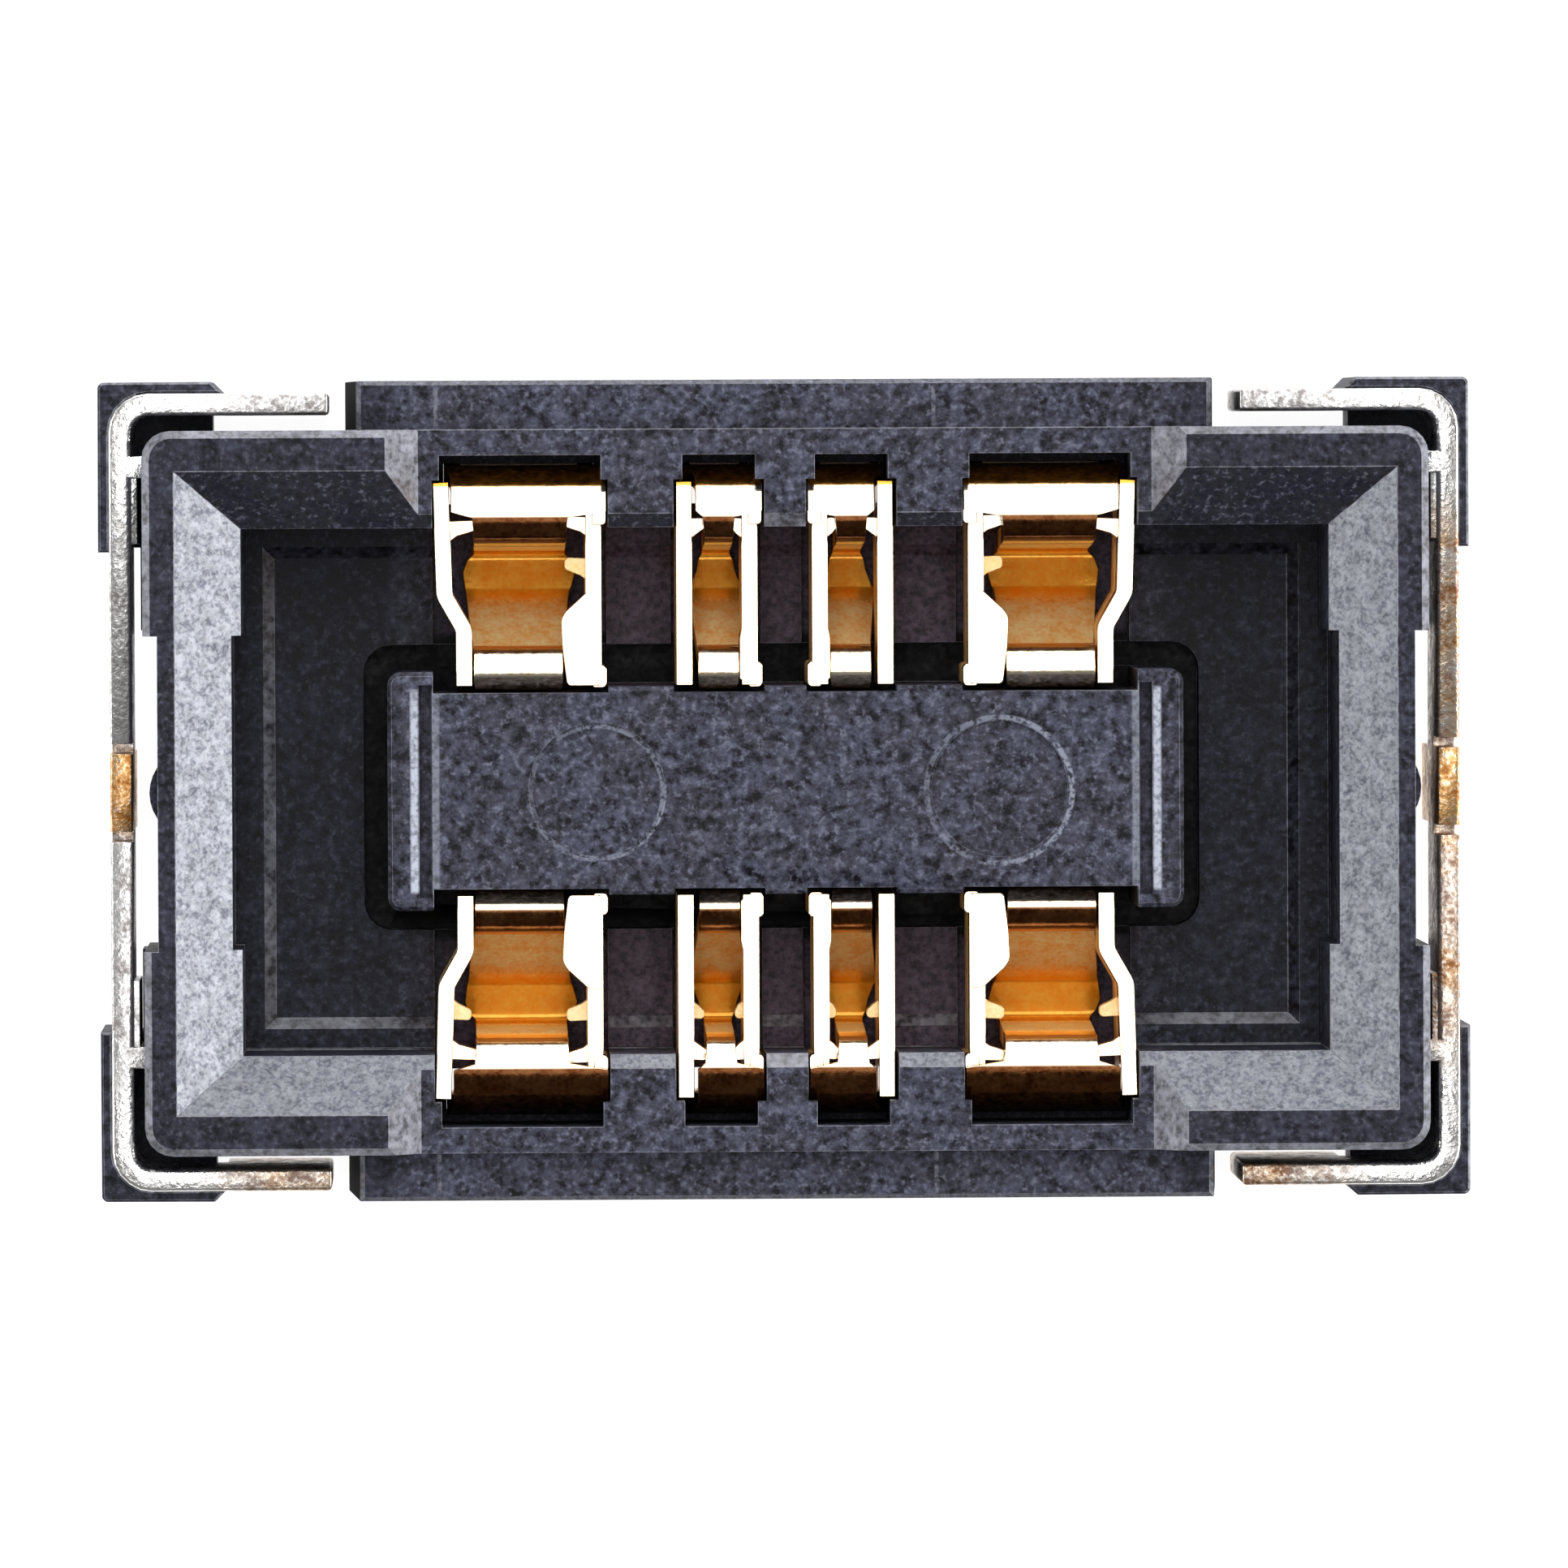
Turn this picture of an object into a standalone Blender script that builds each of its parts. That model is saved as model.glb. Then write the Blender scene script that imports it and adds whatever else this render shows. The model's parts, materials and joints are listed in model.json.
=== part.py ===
"""Board to board connector: a receptacle with four power and four signal contacts.

The pieces are a moulded housing, two sheet-metal end fittings and eight formed contacts.
Metres, +Z towards the mating side, +Y to the rear row, origin under the middle of the housing.
"""

import math

import bmesh
import bpy
from mathutils import Matrix, Vector

# Housing, overall
HOUSING_LENGTH = 3.63e-3
HOUSING_WIDTH = 2.17e-3
HOUSING_HEIGHT = 0.70e-3
STANDOFF = 0.012e-3
FLOOR_HEIGHT = 0.15e-3

# End guides
GUIDE_RIM_AT_END = 0.084e-3
GUIDE_RIM_AT_SIDE = 0.107e-3
LEAD_IN_RUN_AT_END = 0.174e-3
LEAD_IN_RUN_AT_SIDE = 0.152e-3
LEAD_IN_DEPTH = 0.125e-3
GUIDE_CORNER_RADIUS = 0.075e-3
GUIDE_ARM_LENGTH = 0.641e-3
ARM_END_RUN = 0.085e-3
GUIDE_EDGE = 0.020e-3
END_RELIEF_DEPTH = 0.026e-3
OUTER_RELIEF_DEPTH = 0.038e-3
BUMP_RADIUS = 0.120e-3
BUMP_REACH = 0.024e-3

# Side walls, set down from the rims of the end guides
WALL_SET_DOWN = 0.095e-3
LEDGE_SET_DOWN = 0.17e-3
LEDGE_SETBACK = 0.645e-3
LEDGE_END_RUN = 0.04e-3
LEDGE_EDGE = 0.012e-3

# Moats that the contacts stand in, between the island and the side walls
MOAT_WIDTH = 0.421e-3

# Floor recess
RECESS_MARGIN = 0.052e-3
RECESS_SLOPE_RUN = 0.030e-3
RECESS_DEPTH = 0.022e-3

# Island
ISLAND_LENGTH = 2.104e-3
ISLAND_SET_DOWN = 0.13e-3
ISLAND_HEAD_LENGTH = 0.16e-3
ISLAND_HEAD_STEP = 0.04e-3
ISLAND_EDGE = 0.010e-3
ISLAND_CORNER_RADIUS = 0.035e-3
GROOVE_WIDTH = 0.066e-3
GROOVE_DEPTH = 0.10e-3
GROOVE_CORNER_RADIUS = 0.075e-3
HEAD_SLOT_SETBACK = 0.10e-3
HEAD_SLOT_WIDTH = 0.034e-3
HEAD_SLOT_DEPTH = 0.05e-3
HEAD_SLOT_END_WALL = 0.034e-3
LEFT_MARK_X = -0.50e-3
RIGHT_MARK_X = 0.565e-3
MARK_RADIUS = 0.18e-3
MARK_DEPTH = 0.008e-3

# Corner posts
POST_WALL = 0.030e-3
POST_SET_DOWN = 0.20e-3
POST_LEG_ALONG_X = 0.33e-3
POST_LEG_ALONG_Y = 0.45e-3
POST_CORNER_RADIUS = 0.02e-3
CORNER_BASE_HEIGHT = 0.20e-3
WEB_LENGTH = 0.22e-3
POST_EDGE = 0.006e-3

# End fittings
FITTING_SHEET = 0.048e-3
FITTING_GAP = 0.006e-3
FITTING_END_GAP = 0.036e-3
FITTING_SIDE_GAP = 0.046e-3
FITTING_SET_DOWN = 0.15e-3
FITTING_CORNER_RADIUS = 0.10e-3
FITTING_EDGE = 0.006e-3
FITTING_LEG_SETBACK = 0.605e-3
FITTING_TAB_HALF_WIDTH = 0.098e-3
FITTING_NOTCH_WIDTH = 0.036e-3
FITTING_NOTCH_DEPTH = 0.16e-3
REAR_BARB_SETBACK = 0.225e-3
FRONT_BARB_SETBACK = 0.385e-3
BARB_DEPTH = 0.10e-3
FITTING_PAD_LENGTH = 0.15e-3
FITTING_PAD_THICKNESS = 0.016e-3

# Contacts, shared by both widths
SIGNAL_PITCH = 0.35e-3
POWER_OFFSET = 0.70e-3
CONTACT_SHEET = 0.048e-3
CONTACT_GAP = 0.006e-3
SLOT_RIM = 0.068e-3
SLOT_FLOOR = 0.27e-3
LEG_SETBACK = 0.027e-3
TAIL_SETBACK = 0.022e-3
TAIL_BEND_RADIUS = 0.05e-3
CREST_SET_DOWN = 0.02e-3
CREST_OUTER_RADIUS = 0.100e-3
CREST_FLAT = 0.010e-3
CREST_INNER_RADIUS = 0.046e-3
INNER_LEG_LEAN = 0.03e-3
POCKET_FLOOR = 0.075e-3
FLOOR_BEND_RADIUS = 0.045e-3
FLOOR_RISE = 0.03e-3
ARM_RUN = 0.155e-3
ARM_FOOT_RADIUS = 0.06e-3
WAIST_INSET = 0.010e-3
WAIST_DROP = 0.105e-3
WAIST_RADIUS = 0.035e-3
BUMP_SET_DOWN = 0.09e-3
BUMP_WIDTH = 0.072e-3
BUMP_BEND_RADIUS = 0.034e-3
TIP_BEND_RADIUS = 0.027e-3
TIP_DROP = 0.075e-3
ISLAND_POCKET_DEPTH = 0.016e-3
RAIL_SET_DOWN = 0.085e-3
RAIL_BOTTOM = 0.20e-3
RAIL_SHEET = 0.040e-3
RAIL_INTO_WALL = 0.12e-3
RAIL_TIP_SETBACK = 0.002e-3
RAIL_FOOT = 0.012e-3
RAIL_OUTER_FOOT_LENGTH = 0.11e-3
RAIL_INNER_FOOT_LENGTH = 0.055e-3
RAIL_EDGE = 0.009e-3
UPPER_TAB_SETBACK = 0.10e-3
UPPER_TAB_WIDTH = 0.032e-3
UPPER_TAB_DROP = 0.11e-3
UPPER_TAB_DEPTH = 0.11e-3
LOWER_TAB_SETBACK = 0.205e-3
LOWER_TAB_WIDTH = 0.05e-3
BRIDGE_WIDTH = 0.09e-3

# Power contact
POWER_SPAN = 0.452e-3
POWER_CREST_WIDTH = 0.39e-3
POWER_LEG_WIDTH = 0.262e-3
POWER_ARM_WIDTH = 0.236e-3
POWER_ARM_SHIFT = -0.005e-3
POWER_FLOOR_BULGE = 0.03e-3
POWER_SLOT_WIDTH = 0.427e-3
POWER_TAIL_WIDTH = 0.30e-3
POWER_RAIL_JOG = 0.045e-3
POWER_RAIL_JOG_LENGTH = 0.09e-3
POWER_RAIL_JOG_SETBACK = 0.195e-3
SHOULDER_WIDTH = 0.11e-3
SHOULDER_LENGTH = 0.20e-3

# Signal contact
SIGNAL_SPAN = 0.228e-3
SIGNAL_CREST_WIDTH = 0.172e-3
SIGNAL_LEG_WIDTH = 0.096e-3
SIGNAL_ARM_WIDTH = 0.108e-3
SIGNAL_SLOT_WIDTH = 0.193e-3
SIGNAL_TAIL_WIDTH = 0.12e-3

# How finely bends are cut, the angle up to which they shade smooth, and how far joined and cutting
# shapes run past a face
ARC_STEPS = 5
SMOOTH_ANGLE = math.radians(32)
OVERLAP = 0.01e-3
BEYOND = 0.1e-3

# Places worked out from the sizes above
HALF_LENGTH = HOUSING_LENGTH / 2
HALF_WIDTH = HOUSING_WIDTH / 2
FITTING_INSET = POST_WALL + FITTING_GAP
GUIDE_X = HALF_LENGTH - FITTING_INSET - FITTING_SHEET - FITTING_END_GAP
GUIDE_Y = HALF_WIDTH - FITTING_INSET - FITTING_SHEET - FITTING_SIDE_GAP
CAVITY_X = GUIDE_X - GUIDE_RIM_AT_END - LEAD_IN_RUN_AT_END
CAVITY_Y = GUIDE_Y - GUIDE_RIM_AT_SIDE - LEAD_IN_RUN_AT_SIDE
LEAD_IN_BOTTOM = HOUSING_HEIGHT - LEAD_IN_DEPTH
WALL_HEIGHT = HOUSING_HEIGHT - WALL_SET_DOWN
LEDGE_HEIGHT = HOUSING_HEIGHT - LEDGE_SET_DOWN
ISLAND_HEIGHT = HOUSING_HEIGHT - ISLAND_SET_DOWN
POST_HEIGHT = HOUSING_HEIGHT - POST_SET_DOWN
FITTING_TOP = HOUSING_HEIGHT - FITTING_SET_DOWN
ISLAND_Y = CAVITY_Y - MOAT_WIDTH
ISLAND_HEAD_Y = ISLAND_Y + ISLAND_HEAD_STEP
WEB_END_Y = HALF_WIDTH - POST_LEG_ALONG_Y - WEB_LENGTH
REAR_BARB_Y = HALF_WIDTH - REAR_BARB_SETBACK
FRONT_BARB_Y = FRONT_BARB_SETBACK - HALF_WIDTH
SLOT_OUTER_Y = GUIDE_Y - SLOT_RIM
LEG_OUTER_Y = SLOT_OUTER_Y - LEG_SETBACK
LEG_Y = LEG_OUTER_Y - CONTACT_SHEET / 2
APEX_Y = LEG_Y - CREST_OUTER_RADIUS - CREST_FLAT / 2
CREST_INNER_Y = APEX_Y - CREST_FLAT / 2 - CREST_INNER_RADIUS
TAIL_END_Y = HALF_WIDTH - TAIL_SETBACK
TIP_Y = ISLAND_Y - ISLAND_POCKET_DEPTH + CONTACT_GAP
CREST_Z = WALL_HEIGHT - CREST_SET_DOWN - CONTACT_SHEET / 2
STRIP_FLOOR_Z = POCKET_FLOOR + CONTACT_GAP + CONTACT_SHEET / 2
BUMP_Z = ISLAND_HEIGHT - BUMP_SET_DOWN
RAIL_TOP = WALL_HEIGHT - RAIL_SET_DOWN
RAIL_OUTER_Y = CAVITY_Y + RAIL_INTO_WALL
RAIL_INNER_Y = ISLAND_Y + RAIL_TIP_SETBACK


def clear_scene():
    for obj in list(bpy.data.objects):
        bpy.data.objects.remove(obj, do_unlink=True)


def new_collection(name, hidden=False):
    collection = bpy.data.collections.new(name)
    bpy.context.scene.collection.children.link(collection)
    collection.hide_render = hidden
    return collection


def new_material(name, colour, roughness, metallic):
    material = bpy.data.materials.new(name)
    material.use_nodes = True
    shader = material.node_tree.nodes["Principled BSDF"]
    shader.inputs["Base Color"].default_value = (*colour, 1.0)
    shader.inputs["Roughness"].default_value = roughness
    shader.inputs["Metallic"].default_value = metallic
    material.diffuse_color = (*colour, 1.0)
    return material


def mesh_from(bm, name):
    bmesh.ops.recalc_face_normals(bm, faces=bm.faces)
    mesh = bpy.data.meshes.new(name)
    bm.to_mesh(mesh)
    bm.free()
    return mesh


def as_cutter(name, mesh):
    """A helper object that other objects are cut by or joined with."""
    obj = bpy.data.objects.new(name, mesh)
    CUTTERS.objects.link(obj)
    obj.hide_render = True
    obj.display_type = "WIRE"
    return obj


def as_piece(name, mesh, material):
    mesh.materials.append(material)
    obj = bpy.data.objects.new(name, mesh)
    CONNECTOR.objects.link(obj)
    return obj


def apply_boolean(target, other, operation):
    modifier = target.modifiers.new(f"{operation.lower()} {other.name}"[:60], "BOOLEAN")
    modifier.operation = operation
    modifier.object = other
    modifier.solver = "EXACT"


def cut(target, other):
    apply_boolean(target, other, "DIFFERENCE")


def join(target, other):
    apply_boolean(target, other, "UNION")


def evaluated_mesh(obj, name):
    """The object's mesh with its modifiers applied, smooth round its bends, as a mesh of its own."""
    bpy.context.view_layer.update()
    graph = bpy.context.evaluated_depsgraph_get()
    mesh = bpy.data.meshes.new_from_object(obj.evaluated_get(graph))
    mesh.name = name
    mesh.shade_smooth()
    mesh.set_sharp_from_angle(angle=SMOOTH_ANGLE)
    return mesh


def box_mesh(name, low, high):
    low, high = Vector(low), Vector(high)
    size = high - low
    place = Matrix.Translation((low + high) / 2) @ Matrix.Diagonal((*size, 1.0))
    bm = bmesh.new()
    bmesh.ops.create_cube(bm, size=1.0, matrix=place)
    return mesh_from(bm, name)


def box(name, low, high):
    return as_cutter(name, box_mesh(name, low, high))


def ease_top(bm, top, edge):
    """Breaks the sharp edges between the given top vertices with a small flat."""
    rim = [side for side in bm.edges if all(vert in top for vert in side.verts)]
    bmesh.ops.bevel(bm, geom=rim, offset=edge, affect="EDGES", segments=1, profile=0.5, material=-1)


def tapered_box_mesh(name, low, high, grow_x, grow_y, edge=0.0):
    """A box whose top is wider by grow_x and grow_y on each side than its bottom, and eased by edge."""
    bm = bmesh.new()
    size = Vector(high) - Vector(low)
    centre = (Vector(high) + Vector(low)) / 2
    place = Matrix.Translation(centre) @ Matrix.Diagonal((*size, 1.0))
    bmesh.ops.create_cube(bm, size=1.0, matrix=place)
    top = [vert for vert in bm.verts if vert.co.z > centre.z]
    wide = Matrix.Diagonal((1 + 2 * grow_x / size.x, 1 + 2 * grow_y / size.y, 1.0, 1.0))
    bmesh.ops.transform(bm, matrix=wide, space=Matrix.Translation(-centre), verts=top)
    if edge:
        ease_top(bm, top, edge)
    return mesh_from(bm, name)


def rounded_corner(before, corner, after, radius, steps=ARC_STEPS):
    """Points of the arc that rounds a corner of a path, or the corner itself where radius is 0."""
    if not radius:
        return [corner]
    towards_before = (before - corner).normalized()
    towards_after = (after - corner).normalized()
    half_angle = towards_before.angle(towards_after) / 2
    centre = corner + (towards_before + towards_after).normalized() * radius / math.sin(half_angle)
    reach = radius / math.tan(half_angle)
    start = corner + towards_before * reach - centre
    end = corner + towards_after * reach - centre
    sweep = start.angle(end)
    arc = []
    for step in range(steps + 1):
        turn = step / steps
        along = start * math.sin((1 - turn) * sweep) + end * math.sin(turn * sweep)
        arc.append(centre + along / math.sin(sweep))
    return arc


def rounded_path(corners, radii, closed=False):
    """A path through the corners, each rounded to its radius. Open paths keep their two ends."""
    corners = [Vector(corner) for corner in corners]
    count = len(corners)
    path = []
    for index, (corner, radius) in enumerate(zip(corners, radii)):
        if not closed and index in (0, count - 1):
            path.append(corner)
            continue
        path += rounded_corner(corners[index - 1], corner, corners[(index + 1) % count], radius)
    return path


def rounded_rectangle(half_x, half_y, radius):
    corners = [(-half_x, -half_y), (half_x, -half_y), (half_x, half_y), (-half_x, half_y)]
    return rounded_path(corners, [radius] * 4, closed=True)


def prism_mesh(name, outline, low, high, edge=0.0):
    """A closed outline in X and Y, extruded from z low to z high, with its top edge eased by edge."""
    bm = bmesh.new()
    corners = [bm.verts.new((point[0], point[1], low)) for point in outline]
    base = bm.faces.new(corners)
    extruded = bmesh.ops.extrude_face_region(bm, geom=[base])
    moved = [item for item in extruded["geom"] if isinstance(item, bmesh.types.BMVert)]
    bmesh.ops.translate(bm, vec=(0, 0, high - low), verts=moved)
    if edge:
        ease_top(bm, moved, edge)
    return mesh_from(bm, name)


def prism(name, outline, low, high, edge=0.0):
    return as_cutter(name, prism_mesh(name, outline, low, high, edge))


def side_prism(name, outline, low, high):
    """A closed outline in X and Z, extruded along Y from low to high."""
    mesh = prism_mesh(name, outline, -high, -low)
    mesh.transform(Matrix.Rotation(math.radians(90), 4, "X"))
    return as_cutter(name, mesh)


def sheet_mesh(name, path, sweep, thickness, edge=0.0):
    """Sheet metal: a path swept along a vector, in the middle of the thickness, its edges rounded by edge."""
    bm = bmesh.new()
    points = [bm.verts.new(point) for point in path]
    edges = [bm.edges.new(pair) for pair in zip(points, points[1:])]
    swept = bmesh.ops.extrude_edge_only(bm, edges=edges)
    moved = [item for item in swept["geom"] if isinstance(item, bmesh.types.BMVert)]
    bmesh.ops.translate(bm, vec=sweep, verts=moved)
    surface = as_cutter(name + "_surface", mesh_from(bm, name + "_surface"))
    solidify = surface.modifiers.new("sheet", "SOLIDIFY")
    solidify.thickness = thickness
    solidify.offset = 0.0
    solidify.use_even_offset = True
    if edge:
        bevel = surface.modifiers.new("edges", "BEVEL")
        bevel.width = edge
        bevel.segments = 2
        bevel.limit_method = "ANGLE"
        bevel.angle_limit = 2 * SMOOTH_ANGLE
    mesh = evaluated_mesh(surface, name)
    bpy.data.objects.remove(surface, do_unlink=True)
    return mesh


def upright_sheet(name, plan, low, high, thickness, edge):
    """A sheet that stands on edge along a path in X and Y."""
    path = [(point[0], point[1], low) for point in plan]
    return as_cutter(name, sheet_mesh(name, path, (0, 0, high - low), thickness, edge))


def mirrored(mesh, name):
    """The mirror image of a mesh across the YZ plane, with its faces still pointing out."""
    copy = mesh.copy()
    copy.name = name
    copy.transform(Matrix.Scale(-1, 4, (1, 0, 0)))
    copy.flip_normals()
    return copy


def contact_profile():
    """The strip's side view in Y and Z: tail, leg, crest over the wall, floor, waisted spring arm and tip."""
    tail_z = CONTACT_SHEET / 2
    floor_start = CREST_INNER_Y - INNER_LEG_LEAN
    bump_inner = TIP_Y + CONTACT_SHEET / 2
    bump_outer = bump_inner + BUMP_WIDTH
    waist = (bump_outer - WAIST_INSET, BUMP_Z - WAIST_DROP)
    corners = [
        (TAIL_END_Y, tail_z),
        (LEG_Y, tail_z),
        (LEG_Y, CREST_Z),
        (CREST_INNER_Y, CREST_Z),
        (floor_start, STRIP_FLOOR_Z),
        (bump_outer + ARM_RUN, STRIP_FLOOR_Z + FLOOR_RISE),
        waist,
        (bump_outer, BUMP_Z),
        (bump_inner, BUMP_Z),
        (bump_inner, BUMP_Z - TIP_DROP),
    ]
    radii = [
        0,
        TAIL_BEND_RADIUS,
        CREST_OUTER_RADIUS,
        CREST_INNER_RADIUS,
        FLOOR_BEND_RADIUS,
        ARM_FOOT_RADIUS,
        WAIST_RADIUS,
        BUMP_BEND_RADIUS,
        TIP_BEND_RADIUS,
        0,
    ]
    return rounded_path([(0, y, z) for y, z in corners], radii)


def strip_outline(tail, crest, leg, arm, arm_shift, floor_bulge):
    """The strip seen from above, as an outline in X and Y that its bent sheet is trimmed to."""
    tail_y = TAIL_END_Y + OVERLAP
    crest_y = LEG_OUTER_Y + OVERLAP
    leg_y = CREST_INNER_Y - CONTACT_SHEET / 2
    arm_y = TIP_Y + CONTACT_SHEET + BUMP_WIDTH + ARM_RUN / 2
    bulge_y = arm_y + ARM_RUN / 2
    tip_y = TIP_Y - OVERLAP
    right = [
        (tail / 2, tail_y),
        (tail / 2, crest_y),
        (crest / 2, crest_y),
        (crest / 2, leg_y + OVERLAP),
        (leg / 2, leg_y),
        (arm_shift + arm / 2, arm_y),
        (arm_shift + arm / 2, tip_y),
    ]
    left = [
        (arm_shift - arm / 2, tip_y),
        (arm_shift - arm / 2, arm_y),
        (-leg / 2 - floor_bulge, bulge_y),
        (-leg / 2, leg_y),
        (-crest / 2, leg_y + OVERLAP),
        (-crest / 2, crest_y),
        (-tail / 2, crest_y),
        (-tail / 2, tail_y),
    ]
    return right + left


def add_rail(strip, name, side, span, jog=0.0):
    """An upright side rail, with its outward feet. side is +1 or -1; jog narrows its inner end."""
    outer = span / 2 - RAIL_FOOT - RAIL_SHEET / 2
    plan = [(side * outer, RAIL_OUTER_Y)]
    radii = [0]
    if jog:
        jog_end = RAIL_INNER_Y + POWER_RAIL_JOG_SETBACK - POWER_RAIL_JOG_LENGTH / 2
        jog_start = jog_end + POWER_RAIL_JOG_LENGTH
        plan += [(side * outer, jog_start), (side * (outer - jog), jog_end)]
        radii += [RAIL_SHEET, RAIL_SHEET]
    plan.append((side * (outer - jog), RAIL_INNER_Y))
    radii.append(0)
    path = rounded_path([(x, y, 0) for x, y in plan], radii)
    join(strip, upright_sheet(name, path, RAIL_BOTTOM, RAIL_TOP, RAIL_SHEET, RAIL_EDGE))
    feet = {"outer": (RAIL_OUTER_Y - RAIL_OUTER_FOOT_LENGTH, RAIL_OUTER_Y - OVERLAP / 2)}
    if not jog:
        feet["inner"] = (RAIL_INNER_Y + OVERLAP / 2, RAIL_INNER_Y + RAIL_INNER_FOOT_LENGTH)
    for end, (near, far) in feet.items():
        low_x, high_x = sorted((side * outer, side * span / 2))
        low_z, high_z = RAIL_BOTTOM + RAIL_EDGE / 2, RAIL_TOP - RAIL_EDGE / 2
        join(strip, box(f"{name}_{end}_foot", (low_x, near, low_z), (high_x, far, high_z)))


def add_link(strip, name, side, span, reach, setback, width, low, high):
    """A short tab that ties a rail to the strip, setback from the rail's outer end."""
    outer = side * (span / 2 - RAIL_FOOT - RAIL_SHEET / 2)
    inner = side * reach
    far = RAIL_OUTER_Y - setback
    join(strip, box(name, (min(outer, inner), far - width, low), (max(outer, inner), far, high)))


def contact_mesh(name, span, widths, jog, shoulder):
    """One formed contact. Its wide side, where it has a shoulder, is at +X."""
    tail, crest, leg, arm, arm_shift, bulge = widths
    profile = [Vector((-span, point.y, point.z)) for point in contact_profile()]
    bent = sheet_mesh(name + "_strip", profile, (2 * span, 0, 0), CONTACT_SHEET)
    strip = as_cutter(name + "_strip", bent)
    outline = strip_outline(tail, crest, leg, arm, arm_shift, bulge)
    trim = prism(name + "_trim", outline, -BEYOND, HOUSING_HEIGHT)
    apply_boolean(strip, trim, "INTERSECT")

    bridge_low = RAIL_TOP - CONTACT_SHEET / 2
    bridge_inner = APEX_Y - BRIDGE_WIDTH / 3
    tab_top = CREST_Z - UPPER_TAB_DROP
    strip_edge = leg / 2 - CONTACT_SHEET / 2
    for side, rail_jog in ((-1, jog), (1, 0.0)):
        label = f"{name}_{'left' if side < 0 else 'right'}"
        add_rail(strip, label + "_rail", side, span, rail_jog)
        low = (-span / 2 if side < 0 else strip_edge, bridge_inner, bridge_low)
        high = (-strip_edge if side < 0 else span / 2, bridge_inner + BRIDGE_WIDTH, CREST_Z)
        join(strip, box(label + "_bridge", low, high))
        add_link(strip, label + "_upper_tab", side, span, strip_edge, UPPER_TAB_SETBACK,
                 UPPER_TAB_WIDTH, tab_top - UPPER_TAB_DEPTH, tab_top)
    add_link(strip, name + "_lower_tab", 1, span, strip_edge, LOWER_TAB_SETBACK,
             LOWER_TAB_WIDTH, STRIP_FLOOR_Z, RAIL_BOTTOM + OVERLAP)
    if shoulder:
        outer = span / 2 - RAIL_FOOT - OVERLAP / 2
        inner = span / 2 - RAIL_FOOT - SHOULDER_WIDTH
        plate = rounded_path(
            [
                (outer, RAIL_INNER_Y + OVERLAP / 2, 0),
                (outer, RAIL_INNER_Y + SHOULDER_LENGTH + SHOULDER_WIDTH / 3, 0),
                (inner, RAIL_INNER_Y + SHOULDER_LENGTH, 0),
                (inner, RAIL_INNER_Y + OVERLAP / 2, 0),
            ],
            [0, 0, SHOULDER_WIDTH / 4, 0],
            closed=True,
        )
        plate_top = RAIL_TOP - OVERLAP / 2
        join(strip, prism(name + "_shoulder", plate, plate_top - CONTACT_SHEET, plate_top))
    mesh = evaluated_mesh(strip, name)
    bpy.data.objects.remove(strip, do_unlink=True)
    return mesh


def contact_pocket(name, span, slot_width, crest_width, tail_width):
    """What one contact needs cut from the housing, as helper objects on the rear side at x 0."""
    wide = span / 2 + CONTACT_GAP
    slot = slot_width / 2
    top = HOUSING_HEIGHT + BEYOND
    inner_y = ISLAND_Y - ISLAND_POCKET_DEPTH
    wide_y = RAIL_OUTER_Y + CONTACT_GAP
    leg = crest_width / 2 + CONTACT_GAP
    tail = tail_width / 2 + CONTACT_GAP
    leg_inner = LEG_Y - CONTACT_SHEET / 2 - CONTACT_GAP
    leg_outer = LEG_OUTER_Y + CONTACT_GAP
    way_inner = leg_inner - TAIL_BEND_RADIUS
    tail_end = HALF_WIDTH + BEYOND
    tail_top = CONTACT_SHEET / 2 + TAIL_BEND_RADIUS + CONTACT_GAP
    return [
        box_mesh(name + "_well", (-wide, inner_y, POCKET_FLOOR), (wide, wide_y, top)),
        box_mesh(name + "_slot", (-slot, leg_inner, SLOT_FLOOR), (slot, SLOT_OUTER_Y, top)),
        box_mesh(name + "_leg_way", (-leg, way_inner, -BEYOND), (leg, leg_outer, top)),
        box_mesh(name + "_tail_way", (-tail, leg_inner, -BEYOND - OVERLAP), (tail, tail_end, tail_top)),
    ]


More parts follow.
